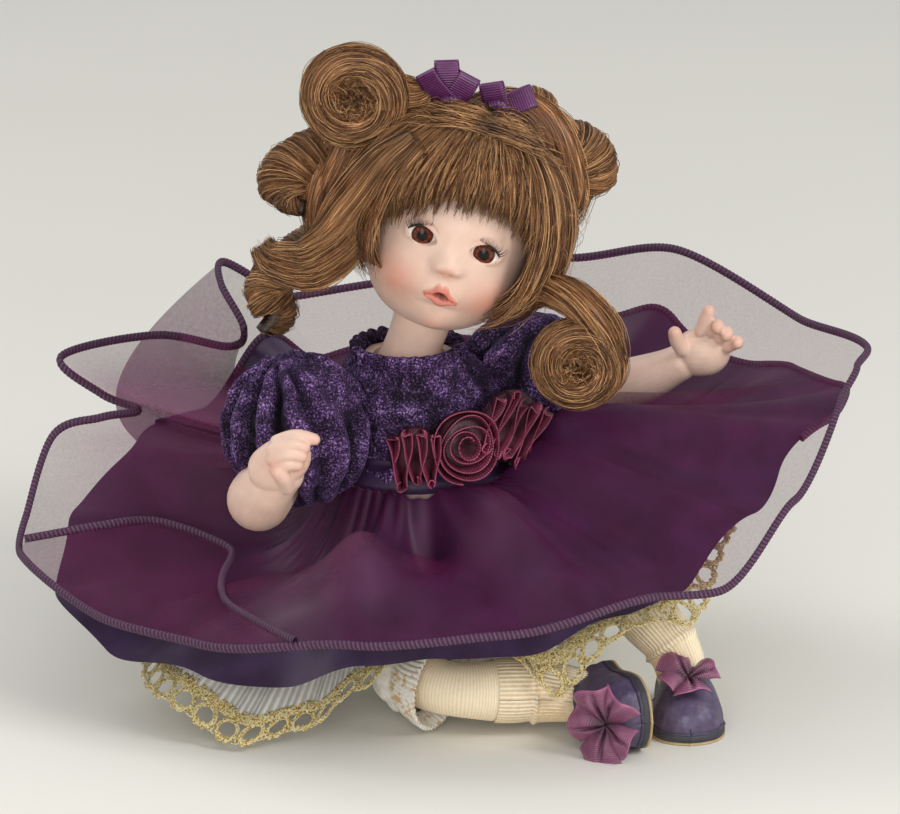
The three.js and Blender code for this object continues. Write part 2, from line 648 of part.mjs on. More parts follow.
// Ribbon rose: one satin band wound in a spiral and set on edge.
function rose(bearing, height, size) {
  const turns = 2.4;
  const steps = 22;
  const pitch = (size - ROSE_BAND) / turns;
  const spiral = (offset) => Array.from({ length: steps + 1 }, (_, i) => {
    const angle = (2 * Math.PI * turns * i) / steps;
    const radius = 0.5 + (pitch * angle) / (2 * Math.PI) + offset - 0.5 * (i / steps);
    return new THREE.Vector2(radius * Math.cos(angle), radius * Math.sin(angle));
  });
  const shape = new THREE.Shape([...spiral(0), ...spiral(ROSE_BAND).toReversed()]);
  const geometry = new THREE.ExtrudeGeometry(shape, { depth: ROSE_DEPTH, bevelEnabled: false, steps: 1 });
  const out = vec(Math.cos(rad(bearing)), Math.sin(rad(bearing)), 0);
  const back = overTorso(CLOTH) + 2 * CLEARANCE + SASH_CLOTH;
  const [rx, ry] = [1, 2].map((column) => torsoSize(SHOULDER_HEIGHT, column) + back);
  const reach = Math.hypot(rx * out.x, ry * out.y);
  const seat = vec(centreLine(height), 0, height).addScaledVector(out, reach);
  geometry.applyQuaternion(new THREE.Quaternion().setFromUnitVectors(vec(0, 0, 1), out));
  geometry.translate(seat.x, seat.y, seat.z);
  return fromGeometry(geometry);
}
piece('rose_right', rose(-121, BODICE_FOOT + 8.4, ROSE_RADIUS), ROSE_SATIN);
piece('rose_middle', rose(-78, BODICE_FOOT + 10.8, ROSE_RADIUS), ROSE_SATIN);
piece('rose_left', rose(-40, BODICE_FOOT + 12.6, ROSE_RADIUS * 0.82), ROSE_SATIN);

// Skirts: bearing around the body, reach of the hem, height of the hem, sag between waist and hem
const OVERSKIRT = [
  [-155, 76, 27, 11],
  [-130, 72, 29, 3],
  [-106, 71, 31, 2],
  [-81, 70, 34, -1],
  [-69, 75, 33, -3],
  [-50, 76, 44, -4],
  [-31, 79, 57, -1],
  [-18, 85, 64, 8],
  [1, 79, 66, 17],
  [24, 71, 74, 14],
  [46, 70, 67, 7],
  [70, 71, 60, 3],
  [90, 75, 57, 2],
  [101, 77, 66, 2],
  [116, 79, 48, 6],
  [134, 83, 56, 11],
  [151, 81, 43, 14],
  [167, 87, 33, 14],
  [-174, 81, 28, 14],
];
// Bearing, reach of the hem, droop of the hem below the overskirt
const UNDERSKIRT = [
  [-160, 67, 9],
  [-144, 64, 10],
  [-124, 60, 8],
  [-97, 61, 7],
  [-64, 63, 3],
  [-42, 69, 2],
  [-24, 80, 2.5],
  [-8, 73, 2.5],
  [18, 63, 2.5],
  [42, 57, 3],
  [90, 62, 4],
  [136, 64, 10],
  [155, 74, 7],
  [180, 72, 8],
];
// Bearing, reach of the lace edge, height of the lace edge
const PETTICOAT = [
  [-168, 72, 8],
  [-154, 68, 1.2],
  [-145, 56, 3],
  [-137, 49, 10],
  [-122, 46, 22],
  [-102, 50, 20],
  [-90, 53, 17],
  [-72, 59, 24],
  [-63, 63, 28],
  [-42, 60, 34],
  [0, 52, 34],
  [45, 50, 36],
  [90, 52, 34],
  [135, 56, 20],
  [170, 64, 10],
];

const waistFoot = WAIST - 2 * LAYER_DROP - SKIRT_CLOTH;
const waistSize = [1, 2].map((column) => torsoSize(waistFoot, column) + 6 * CLEARANCE + SKIRT_CLOTH);
const waistPoint = (bearing) => vec(
  centreLine((WAIST + waistFoot) / 2) + waistSize[0] * Math.cos(rad(bearing)),
  waistSize[1] * Math.sin(rad(bearing)),
  0,
);
const hemPoint = (rows, bearing) => {
  const reach = roundTable(rows, bearing, 1);
  return vec(reach * Math.cos(rad(bearing)), reach * Math.sin(rad(bearing)), 0);
};
const hemLength = (rows, bearing) => hemPoint(rows, bearing).distanceTo(waistPoint(bearing));
const sagForm = (share) => (share / 0.25) * Math.exp(1 - share / 0.25);

function overHeight(bearing, distance) {
  const share = distance / hemLength(OVERSKIRT, bearing);
  const straight = mix(WAIST, roundTable(OVERSKIRT, bearing, 2), share);
  const gathers = 0.7 * Math.cos(rad(bearing) * GATHERS) * ease(Math.min(1, Math.max(0, share * 2)));
  return straight - roundTable(OVERSKIRT, bearing, 3) * sagForm(share) + gathers;
}

function underHeight(bearing, distance) {
  const share = distance / hemLength(UNDERSKIRT, bearing);
  const droop = roundTable(UNDERSKIRT, bearing, 2) * share * Math.abs(share);
  return overHeight(bearing, distance + LAYER_DROP / 2) - LAYER_DROP - droop;
}

function petticoatHeight(bearing, distance) {
  const share = distance / hemLength(PETTICOAT, bearing);
  const under = underHeight(bearing, distance) - LAYER_DROP * (1 + share);
  const own = mix(WAIST - 2 * LAYER_DROP, roundTable(PETTICOAT, bearing, 2), share);
  return Math.max(SKIRT_CLOTH, Math.min(under, own));
}

const skirt = (rows, height, from = 0, to = 1) => (u, v) => {
  const bearing = 360 * u;
  const share = mix(from, to, v);
  const point = waistPoint(bearing).lerp(hemPoint(rows, bearing), share);
  point.z = height(bearing, share * hemLength(rows, bearing));
  return point;
};
piece('overskirt', wrap(skirt(OVERSKIRT, overHeight), SKIRT_POINTS, 5, SKIRT_CLOTH), ORGANZA);
piece('underskirt', wrap(skirt(UNDERSKIRT, underHeight), SKIRT_POINTS, 4, SKIRT_CLOTH), SATIN);
const laceStart = 1 - LACE_SHARE;
const tulle = skirt(PETTICOAT, petticoatHeight, 0, laceStart);
const lace = skirt(PETTICOAT, petticoatHeight, laceStart + 0.01, 1);
piece('petticoat', wrap(tulle, SKIRT_POINTS, 3, SKIRT_CLOTH), TULLE);
piece('lace_trim', wrap(lace, SKIRT_POINTS, 1, SKIRT_CLOTH), GOLD);

// Legs: bent limbs, pantaloons, stockings and shoes
const shoeFrame = (origin, toe, up) => new THREE.Matrix4().makeBasis(
  toe.clone().negate().cross(up),
  toe.clone().negate(),
  up,
).setPosition(origin);
const rightUp = vec(-Math.cos(rad(5)), Math.sin(rad(5)), 0);
const legForms = {
  right: {
    limb: [
      [-18.4, -25.6, 11.2, 6.6],
      [-19.8, -33, 10.2, 5.6],
      [-15.4, -39, 9.6, 5.4],
      [-6.5, -41.6, 9, 6.2],
      [0.6, -43.6, 8.6, 5.6],
    ],
    shoe: shoeFrame(vec(15, -49.5, 7.6), vec(-Math.sin(rad(5)), -Math.cos(rad(5)), 0), rightUp),
    bowTilt: 40,
    lie: vec(0, 0, 1),
  },
  left: {
    limb: [
      [14.4, -23.6, 20, 6.6],
      [18.6, -30, 25.6, 5.6],
      [22, -35.6, 25, 5.4],
      [25.4, -40.6, 19.4, 5.8],
      [29, -45.4, 13, 4.6],
    ],
    shoe: shoeFrame(vec(30.2, -47, 0), vec(-Math.sin(rad(22)), -Math.cos(rad(22)), 0), vec(0, 0, 1)),
    bowTilt: 16,
    lie: vec(1, 0, 0),
  },
};

const FOOT_CENTRE = vec(0, -5.6, 6.2);
const FOOT_RADII = [4.6, 9.6, 3.4];

const soleOutline = new THREE.Shape();
soleOutline.moveTo(0, 8);
soleOutline.bezierCurveTo(6.6, 8, 5.4, 2, 5.2, -1);
soleOutline.bezierCurveTo(5, -4, 7.2, -7, 7.2, -11);
soleOutline.bezierCurveTo(7.2, -16, 4, -18.4, 0, -18.4);
soleOutline.bezierCurveTo(-4, -18.4, -7.2, -16, -7.2, -11);
soleOutline.bezierCurveTo(-7.2, -7, -5, -4, -5.2, -1);
soleOutline.bezierCurveTo(-5.4, 2, -6.6, 8, 0, 8);

const shoePlaced = (body, frame) => body.transform(frame.elements);

// Satin bow of five puffed petals round a knot.
function shoeBow() {
  const petals = Array.from({ length: 5 }, (_, i) => {
    const angle = (2 * Math.PI * i) / 5 + 0.3;
    const geometry = new THREE.SphereGeometry(1, 6, 3);
    geometry.scale(3.6, 2.6, 1.4);
    geometry.rotateX(i % 2 ? 0.5 : -0.4);
    geometry.translate(3.6, 0, 0.7);
    geometry.rotateZ(angle);
    return fromGeometry(geometry);
  });
  return all([...petals, ball(vec(0, 0, 0.6), [2, 2, 1.7], 6, 4)]);
}

for (const side of Object.keys(sides)) {
  const { limb, shoe, bowTilt, lie } = legForms[side];
  const centre = hip(side);
  const heel = vec(0, 0, 6).applyMatrix4(shoe);
  const thigh = vec(...limb[0]);
  const stations = [
    station(centre, HIP_BALL),
    station(centre.clone().lerp(thigh, 0.5), HIP_BALL - 1.4),
    ...limb,
    station(heel, 4.2),
  ];
  const legForm = (grow, from = 0, to = stations.length, blunt = false) => tube(
    stations.slice(from, to),
    { sides: 8, steps: 2 * (to - from - 1), lie, grow, blunt },
  );
  const footBall = (grow) => ball(FOOT_CENTRE, FOOT_RADII.map((radius) => radius + grow), 10, 6);
  const foot = (grow) => shoePlaced(footBall(grow), shoe);
  const bore = rod(centre, along(centre, hipInward(side), 2 * HIP_BALL), HOOK_WIRE + CLEARANCE, 8);
  piece(`leg_${side}`, legForm(0).add(foot(0)).subtract(bore), BISQUE);
  const shank = [CLEARANCE, hookReach(HIP_BALL)].map((reach) => along(centre, hipInward(side), reach));
  piece(`leg_hook_${side}`, hook(...shank, vec(0, 0, 1)), STEEL);

  const hipClear = ball(centre, HIP_BALL + 4);
  const kneeWay = vec(...limb[1]).sub(vec(...limb[0])).normalize();
  const cuffEnd = along(vec(...limb[1]), kneeWay, 0.5);
  const pantaloon = tube([
    station(centre, HIP_BALL + 0.6),
    station(thigh, limb[0][3] + 1.8),
    station(along(vec(...limb[1]), kneeWay, -4), limb[1][3] + 1.6),
    station(cuffEnd, limb[1][3] + 2.6),
  ], { sides: 10, steps: 5, lie, blunt: true });
  piece(`pantaloon_leg_${side}`, without(pantaloon, [legForm(0), legForm(CLEARANCE), hipClear]), COTTON);

  const sockForm = (grow) => tube([
    station(vec(...limb[3]).lerp(vec(...limb[2]), 0.4), limb[3][3] + CLEARANCE + STOCKING_CLOTH),
    station(vec(...limb[3]), limb[3][3] + CLEARANCE + STOCKING_CLOTH),
    station(vec(...limb[4]), limb[4][3] + CLEARANCE + STOCKING_CLOTH),
  ], { sides: 9, steps: 4, lie, grow, blunt: true });
  piece(`stocking_${side}`, sockForm(0).subtract(legForm(CLEARANCE)), KNIT);

  const upperFoot = SOLE_THICKNESS + CLEARANCE;
  const [, vampLong, vampHigh] = VAMP_RADII;
  const vamp = ball(vec(0, VAMP_CENTRE, upperFoot), VAMP_RADII, 12, 6);
  const counter = tube([
    [0, 1.8, upperFoot - 1, 5.7],
    [0, 1.8, 6, 5.9],
    [0, 1.8, 11, 5.6],
  ], { sides: 12, steps: 2, lie: vec(1, 0, 0), blunt: true });
  const ankleHole = tube([
    [0, 0.6, 5, 4.6],
    [0, 0.6, 14, 4.9],
  ], { sides: 12, steps: 2, lie: vec(1, 0, 0), blunt: true });
  const upper = without(vamp.add(counter), [below(upperFoot), footBall(CLEARANCE), ankleHole]);
  const worn = [legForm(CLEARANCE), foot(CLEARANCE), sockForm(CLEARANCE)];
  piece(`shoe_${side}`, without(shoePlaced(upper, shoe), worn), SHOE);
  const soleGeometry = new THREE.ExtrudeGeometry(soleOutline, {
    depth: SOLE_THICKNESS, bevelEnabled: false, curveSegments: 4,
  });
  piece(`sole_${side}`, shoePlaced(fromGeometry(soleGeometry), shoe), SOLE);
  const slope = Math.atan((Math.tan(rad(bowTilt)) * vampLong) / vampHigh);
  const bowSeat = vec(0, VAMP_CENTRE - vampLong * Math.sin(slope), upperFoot + vampHigh * Math.cos(slope))
    .add(vec(0, -Math.sin(rad(bowTilt)), Math.cos(rad(bowTilt))).multiplyScalar(1.4));
  const bow = shoeBow().rotate([bowTilt, 0, 0]).translate(bowSeat.toArray());
  piece(`shoe_bow_${side}`, without(shoePlaced(bow.subtract(vamp.add(counter)), shoe), worn), SHOE);
}

// Pantaloon seat: the flat face that the doll rests on
piece('pantaloon_seat', without(torsoForm(CLEARANCE + PANTALOON_CLOTH, 0, PANTALOON_TOP), [
  torsoForm(CLEARANCE, PANTALOON_CLOTH, PANTALOON_TOP + 1),
  ball(hip('right'), HIP_BALL + 3),
  ball(hip('left'), HIP_BALL + 3),
]), COTTON);

export default doll;
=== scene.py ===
import json
import math

import bpy
import numpy as np
from mathutils import Matrix


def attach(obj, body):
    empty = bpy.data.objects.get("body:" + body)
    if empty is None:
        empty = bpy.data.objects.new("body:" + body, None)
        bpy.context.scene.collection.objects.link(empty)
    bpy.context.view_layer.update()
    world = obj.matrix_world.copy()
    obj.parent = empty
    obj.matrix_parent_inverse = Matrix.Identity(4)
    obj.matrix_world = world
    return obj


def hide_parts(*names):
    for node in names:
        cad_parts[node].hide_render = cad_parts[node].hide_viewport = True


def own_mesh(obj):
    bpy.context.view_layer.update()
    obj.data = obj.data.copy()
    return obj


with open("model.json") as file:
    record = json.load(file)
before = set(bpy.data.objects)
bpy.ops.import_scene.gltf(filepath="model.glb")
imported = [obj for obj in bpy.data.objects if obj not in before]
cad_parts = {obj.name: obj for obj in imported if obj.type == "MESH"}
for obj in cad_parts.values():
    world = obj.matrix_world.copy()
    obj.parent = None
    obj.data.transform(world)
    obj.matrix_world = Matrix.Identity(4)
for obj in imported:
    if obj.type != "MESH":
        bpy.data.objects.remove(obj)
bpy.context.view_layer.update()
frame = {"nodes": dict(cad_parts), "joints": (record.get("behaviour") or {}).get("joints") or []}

# Sizes are in millimetres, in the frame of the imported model: the doll faces -Y and sits on z = 0.
MM = 0.001
chance = np.random.default_rng(11)


# Shapes

def unit(way):
    return way / np.maximum(np.linalg.norm(way, axis=-1, keepdims=True), 1e-9)


def ease(t):
    t = np.clip(t, 0, 1)
    return t * t * (3 - 2 * t)


def mound(distance, spread):
    return np.exp(-((distance / spread) ** 2))


def mounds(rows, x, z, gap=np.subtract):
    """Soft mounds added up. Each row: place across and along, spread across and along, rise."""
    return sum(
        rise * mound(gap(x, middle), wide) * mound(z - level, tall)
        for middle, level, wide, tall, rise in rows
    )


def mix(a, b, t):
    return a + (b - a) * t


def noise(points, size, seed=0):
    """Smooth noise from -1 to 1, with features about `size` across."""
    place = np.asarray(points, float) / size + 17.3 * seed
    cell = np.floor(place).astype(np.int64)
    part = ease(place - cell)
    total = 0
    for corner in np.ndindex(2, 2, 2):
        x, y, z = (cell[..., i] + corner[i] for i in range(3))
        key = (x * 73856093) ^ (y * 19349663) ^ (z * 83492791)
        key = ((key ^ (key >> 13)) * 1274126177) & 0xFFFFFF
        weight = 1
        for i in range(3):
            weight = weight * (part[..., i] if corner[i] else 1 - part[..., i])
        total = total + weight * ((key ^ (key >> 9)) & 0xFFFF)
    return total / 32767.5 - 1


def curve(stations, count, closed=False):
    """Smooth curve through the stations, with every column carried along."""
    rows = np.asarray(stations, float)
    last = len(rows) if closed else len(rows) - 1
    t = np.linspace(0, last, count, endpoint=not closed)
    here = np.minimum(t.astype(int), last - 1)
    part = (t - here)[:, None]

    def at(i):
        return rows[i % len(rows)] if closed else rows[np.clip(i, 0, last)]

    a, b, c, d = (at(here + step) for step in (-1, 0, 1, 2))
    return b + 0.5 * part * (c - a + part * (2 * a - 5 * b + 4 * c - d + part * (3 * (b - c) + d - a)))


def xyz(*parts):
    """Points from their coordinates, each given for all points, for a row, for a column or once."""
    return np.stack(np.broadcast_arrays(*parts), -1)


def net(rows, columns):
    """Every row value with every column value."""
    return np.meshgrid(rows, columns, indexing="ij")


def full_turn(count):
    """Angles once round, without the last, which is the first again."""
    return np.linspace(0, 2 * np.pi, count, endpoint=False)


def lengths(line):
    """Distance along a line to each of its points."""
    return np.concatenate([[0], np.cumsum(np.linalg.norm(np.diff(line, axis=0), axis=1))])


def drawn(low, high, count):
    """A column of random values."""
    return chance.uniform(low, high, count)[:, None]


def grid(rows, columns, round_rows=False, round_columns=False):
    last_row = rows if round_rows else rows - 1
    last_column = columns if round_columns else columns - 1
    i, k = net(np.arange(last_row), np.arange(last_column))
    j, m = (i + 1) % rows, (k + 1) % columns
    return np.stack([i * columns + k, i * columns + m, j * columns + m, j * columns + k], -1).reshape(-1, 4)


def frames(paths, lie):
    """Two directions across each path: one that lies as asked, or one carried along without twist."""
    along = unit(np.gradient(paths, axis=1))
    across = np.empty_like(along)
    if lie is None:
        least = np.eye(3)[np.argmin(np.abs(along[:, 0]), axis=-1)]
        before = np.cross(along[:, 0], least)
    for k in range(paths.shape[1]):
        start = np.broadcast_to(lie, along[:, k].shape) if lie is not None else before
        before = unit(start - np.sum(start * along[:, k], -1, keepdims=True) * along[:, k])
        across[:, k] = before
    return across, np.cross(along, across)


class Shape:
    """Points, faces, colours and cloth coordinates that make up one piece."""

    def __init__(self):
        self.points, self.tints, self.weaves, self.faces, self.count = [], [], [], [], 0

    def add(self, points, faces, tint=(1, 1, 1), weave=None):
        points = np.asarray(points, float).reshape(-1, 3)
        tint = np.asarray(tint, float)
        self.points.append(points)
        self.tints.append(np.broadcast_to(tint if tint.ndim == 1 else tint.reshape(-1, 3), points.shape))
        weave = np.zeros_like(points) if weave is None else np.asarray(weave, float).reshape(-1, 3)
        self.weaves.append(weave)
        self.faces.append(np.asarray(faces) + self.count)
        self.count += len(points)
        return self

    def surface(self, points, tint=(1, 1, 1), weave=None, round_rows=False, round_columns=False):
        rows, columns = points.shape[:2]
        return self.add(points, grid(rows, columns, round_rows, round_columns), tint, weave)

    def tubes(self, paths, radius, sides, tint=(1, 1, 1), lie=None, flat=1, ribs=None, capped=False):
        """Tubes along a set of paths (tube, point, xyz)."""
        paths = np.asarray(paths, float)
        number, length = paths.shape[:2]
        across, other = frames(paths, lie)
        angle = full_turn(sides)
        size = np.broadcast_to(radius, (number, length))[..., None, None]
        if ribs is not None:
            size = size * (1 + ribs(angle)[..., None])
        ring = across[:, :, None] * np.cos(angle)[:, None]
        ring = ring + flat * other[:, :, None] * np.sin(angle)[:, None]
        points = paths[:, :, None] + size * ring
        one = grid(length, sides, round_columns=True)
        faces = (one + np.arange(number)[:, None, None] * length * sides).reshape(-1, 4)
        steps = np.linalg.norm(np.diff(paths, axis=1), axis=-1)
        run = np.concatenate([np.zeros((number, 1)), np.cumsum(steps, 1)], 1)
        tint = np.asarray(tint, float)
        if tint.ndim == 2:
            tint = tint[:, None]
        if tint.ndim == 3:
            tint = np.broadcast_to(tint[:, :, None], points.shape)
        start = self.count
        self.add(points, faces, tint, xyz(run[..., None], angle, 0))
        if capped:
            for i in range(number):
                for row in (0, length - 1):
                    base = start + (i * length + row) * sides
                    ring_faces = [[base + k, base + (k + 1) % sides, self.count] for k in range(sides)]
                    self.add([paths[i, row]], np.array(ring_faces) - self.count, tint.reshape(-1, 3)[0])
        return self

    def piece(self, name, finish, body, slot, *nodes, thick=0):
        data = bpy.data.meshes.new(name)
        points = np.concatenate(self.points) * MM
        corners = np.concatenate([faces.ravel() for faces in self.faces])
        totals = np.concatenate([np.full(len(faces), faces.shape[1]) for faces in self.faces])
        data.vertices.add(len(points))
        data.vertices.foreach_set("co", points.ravel())
        data.loops.add(len(corners))
        data.loops.foreach_set("vertex_index", corners.astype(np.int32))
        data.polygons.add(len(totals))
        data.polygons.foreach_set("loop_start", (np.cumsum(totals) - totals).astype(np.int32))
        data.polygons.foreach_set("use_smooth", np.ones(len(totals), bool))
        data.update(calc_edges=True)
        data.validate()
        tints = np.concatenate(self.tints)
        colour = data.attributes.new("tint", "FLOAT_COLOR", "POINT")
        colour.data.foreach_set("color", np.concatenate([tints, np.ones((len(tints), 1))], 1).ravel())
        weave = data.attributes.new("weave", "FLOAT_VECTOR", "POINT")
        weave.data.foreach_set("vector", np.concatenate(self.weaves).ravel())
        data.materials.append(finish)
        made = bpy.data.objects.new(name, data)
        bpy.context.scene.collection.objects.link(made)
        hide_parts(*nodes)
        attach(made, body)
        if thick:
            sheet = made.modifiers.new("thickness", "SOLIDIFY")
            sheet.thickness = thick * MM
            sheet.offset = 0
        return made


def spin(axis, degrees):
    c, s = math.cos(math.radians(degrees)), math.sin(math.radians(degrees))
    return np.array({
        "x": [[1, 0, 0], [0, c, -s], [0, s, c]],
        "y": [[c, 0, s], [0, 1, 0], [-s, 0, c]],
        "z": [[c, -s, 0], [s, c, 0], [0, 0, 1]],
    }[axis])


# Finishes

def linear(red, green, blue):
    """Scene colour of a display colour given in steps of 1/255."""
    steps = (red, green, blue)
    return np.array([((v / 255 + 0.055) / 1.055) ** 2.4 if v > 10 else v / 3295 for v in steps])


class Finish:
    """A material whose colour and relief come from nodes."""

    def __init__(self, name, **sockets):
        self.material = bpy.data.materials.new(name)
        self.material.use_nodes = True
        self.tree = self.material.node_tree
        self.shader = self.tree.nodes["Principled BSDF"]
        for socket, value in sockets.items():
            self.feed(self.shader.inputs[socket.replace("_", " ")], value)
        self.place = self.node("TexCoord").outputs["Object"]

    def feed(self, socket, value):
        if isinstance(value, bpy.types.NodeSocket):
            self.tree.links.new(value, socket)
        elif socket.type == "RGBA":
            socket.default_value = (*value, 1)
        else:
            socket.default_value = value

    def node(self, kind, inputs=(), **settings):
        made = self.tree.nodes.new("ShaderNode" + kind)
        for name, value in settings.items():
            setattr(made, name, value)
        for key, value in dict(inputs).items():
            self.feed(made.inputs[key], value)
        return made

    def tint(self):
        """The piece's own colours."""
        return self.node("Attribute", attribute_name="tint").outputs["Color"]

    def weave(self):
        """The piece's cloth coordinates."""
        return self.node("Attribute", attribute_name="weave").outputs["Vector"]

    def grain(self, size, detail=3, stretch=(1, 1, 1), place=None):
        """Noise with features about `size` millimetres across."""
        unit_size = 1 if place else 1 / MM
        scale = [unit_size / size / s for s in stretch]
        scaled = self.node("Mapping", {"Vector": place or self.place, "Scale": scale})
        made = self.node("TexNoise", {"Vector": scaled.outputs[0], "Scale": 1.0, "Detail": detail})
        return made.outputs["Fac"]

    def ribs(self, pitch, column=0):
        """Rounded ridges from 0 to 1 along a column of the cloth coordinates."""
        parts = self.node("SeparateXYZ", {"Vector": self.weave()})
        wave = self.sum("SINE", self.sum("MULTIPLY", parts.outputs[column], 2 * math.pi / pitch))
        return self.sum("MULTIPLY_ADD", wave, 0.5, 0.5)

    def sum(self, operation, a, b=None, c=None):
        made = self.node("Math", operation=operation)
        for i, value in enumerate(v for v in (a, b, c) if v is not None):
            self.feed(made.inputs[i], value)
        return made.outputs[0]

    def weighed(self, a, share, b, other):
        """Two values added up, each with its own weight."""
        return self.sum("MULTIPLY_ADD", a, share, self.sum("MULTIPLY", b, other))

    def ramp(self, factor, *stops):
        made = self.node("ValToRGB", {"Fac": factor})
        band = made.color_ramp.elements
        while len(band) < len(stops):
            band.new(0.5)
        for element, (place, colour) in zip(band, stops):
            element.position = place
            element.color = (*colour, 1)
        return made.outputs["Color"]

    def blend(self, mode, factor, a, b):
        made = self.node("Mix", data_type="RGBA", blend_type=mode)
        for i, value in ((0, factor), (6, a), (7, b)):
            self.feed(made.inputs[i], value)
        return made.outputs[2]

    def colour(self, value):
        self.feed(self.shader.inputs["Base Color"], value)

    def relief(self, height, depth):
        made = self.node("Bump", {"Height": height, "Distance": depth * MM, "Strength": 1.0})
        self.feed(self.shader.inputs["Normal"], made.outputs[0])


def tinted(name, low, high, size, depth=0.0, **sockets):
    """Colour from the piece's own tints, lightly mottled."""
    made = Finish(name, **sockets)
    grain = made.grain(size)
    shade = made.ramp(grain, (0.3, (low, low, low)), (0.7, (high, high, high)))
    made.colour(made.blend("MULTIPLY", 1.0, made.tint(), shade))
    if depth:
        made.relief(grain, depth)
    return made.material


def speckled(name, dark, light, size, depth=0.1, **sockets):
    made = Finish(name, **sockets)
    grain = made.grain(size)
    made.colour(made.ramp(grain, (0.3, dark), (0.7, light)))
    made.relief(grain, depth)
    return made.material


def ribbed_satin(name, dark, light, pitch):
    made = Finish(name, Roughness=0.36, Specular_IOR_Level=0.6)
    ribs = made.ribs(pitch)
    cloth = made.ramp(made.weighed(made.grain(2.2), 0.55, ribs, 0.35), (0.2, dark), (0.8, light))
    made.colour(made.blend("MULTIPLY", 1.0, cloth, made.tint()))
    made.relief(ribs, 0.07)
    return made.material


def velvet_finish():
    sheen = {"Sheen_Weight": 0.2, "Sheen_Roughness": 0.3, "Sheen_Tint": linear(150, 118, 180)}
    made = Finish("crushed velvet", Roughness=0.8, Specular_IOR_Level=0.2, **sheen)
    pile = made.grain(0.4, 3)
    crush = made.grain(3.6, 2)
    # The pale lilac speckles at the top of this ramp are painted glints of light on the pile.
    cloth = made.ramp(
        made.weighed(crush, 0.4, pile, 0.82),
        (0.46, linear(12, 6, 16)),
        (0.6, linear(44, 26, 54)),
        (0.7, linear(88, 62, 106)),
        (0.82, linear(160, 130, 182)),
    )
    # The piece's tints bring painted shade and painted highlight of its folds.
    made.colour(made.blend("MULTIPLY", 1.0, cloth, made.tint()))
    made.relief(pile, 0.5)
    return made.material


def organza_finish():
    made = Finish("plum organza", Roughness=0.5, Specular_IOR_Level=0.2)
    threads = made.grain(0.5, 2, (1, 1, 4))
    folds = made.ramp(made.grain(9, 3), (0.3, linear(80, 12, 54)), (0.7, linear(104, 24, 76)))
    gathered, pale_highlight_and_layers, _ = made.node("SeparateXYZ", {"Vector": made.weave()}).outputs
    # Over the knees the colour is made paler as painted highlight; in the folded cloth it is paler where
    # its layers lie bunched together.
    made.colour(made.blend("MIX", pale_highlight_and_layers, folds, linear(164, 104, 140)))
    single = made.sum("MULTIPLY_ADD", threads, 0.2, 0.25)
    made.feed(made.shader.inputs["Alpha"], made.sum("MULTIPLY_ADD", gathered, 0.42, single))
    return made.material


def satin_finish():
    made = Finish("violet satin", Roughness=0.42, Anisotropic=0.4, Specular_IOR_Level=0.35)
    cloth = made.grain(7, 3)
    made.colour(made.ramp(cloth, (0.3, linear(40, 22, 48)), (0.7, linear(62, 38, 74))))
    made.relief(made.grain(0.3, 2), 0.03)
    return made.material


def tulle_finish():
    made = Finish("white tulle", Roughness=0.7, Sheen_Weight=0.3)
    pleats = made.ribs(0.9, 1)
    shade = made.weighed(made.grain(1.2), 0.5, pleats, 0.5)
    made.colour(made.ramp(shade, (0.25, linear(206, 202, 192)), (0.8, linear(246, 244, 236))))
    made.feed(made.shader.inputs["Alpha"], made.sum("MULTIPLY_ADD", pleats, 0.3, 0.55))
    made.relief(pleats, 0.2)
    return made.material


def gold_finish():
    made = Finish("gold lace thread", Roughness=0.36, Metallic=0.2)
    twist = made.grain(0.38, 3)
    stops = (0.34, linear(150, 112, 40)), (0.48, linear(250, 220, 132)), (0.62, linear(255, 252, 222))
    made.colour(made.ramp(twist, *stops))
    made.relief(twist, 0.8)
    return made.material


def hair_finish():
    """Fine streaks that run along the hair."""
    made = Finish("chestnut hair", Roughness=0.34, Specular_IOR_Level=0.5)
    streak = made.grain(1, 2, (7, 0.13, 1), made.weave())
    shade = made.ramp(streak, (0.34, (0.3, 0.3, 0.3)), (0.5, (0.95, 0.95, 0.95)), (0.66, (2.3, 2.15, 1.95)))
    made.colour(made.blend("MULTIPLY", 1.0, made.tint(), shade))
    made.relief(streak, 0.12)
    return made.material


def knit_finish(name, pitch, column, dark, light, depth):
    made = Finish(name, Roughness=0.9, Sheen_Weight=0.15)
    rows = made.ribs(pitch, column)
    made.colour(made.ramp(made.weighed(made.grain(0.8), 0.5, rows, 0.5), (0.2, dark), (0.7, light)))
    made.relief(rows, depth)
    return made.material


SOCK_RIBS = 44
BISQUE = tinted(
    "painted bisque", 0.82, 0.89, 2.5,
    Roughness=0.42, Subsurface_Weight=0.1, Subsurface_Scale=0.0015, Specular_IOR_Level=0.4,
)
EYE_GLASS = tinted(
    "eye glass", 0.9, 1.1, 0.3,
    Roughness=0.5, Specular_IOR_Level=0.0, Coat_Weight=0.5, Coat_Roughness=0.02,
)
HAIR = hair_finish()
LASH = tinted("lash hair", 0.7, 1.2, 0.5, Roughness=0.6)
VELVET = velvet_finish()
ORGANZA = organza_finish()
SATIN = satin_finish()
ROSE_SATIN = ribbed_satin("rose satin", linear(66, 18, 38), linear(138, 58, 84), 0.45)
RIBBON = ribbed_satin("hair ribbon", linear(62, 16, 62), linear(120, 50, 112), 0.5)
BOW_SATIN = ribbed_satin("bow satin", linear(104, 50, 82), linear(160, 96, 126), 0.5)
THREAD = tinted("serging thread", 0.65, 1.3, 0.35, 0.2, Roughness=0.75)
TULLE = tulle_finish()
GOLD = gold_finish()
TIGHTS = knit_finish("cream tights", 0.5, 0, linear(238, 214, 176), linear(252, 236, 206), 0.02)
KNIT = knit_finish(
    "cream ribbed knit", 2 * math.pi / SOCK_RIBS, 1, linear(222, 192, 150), linear(253, 238, 208), 0.12,
)
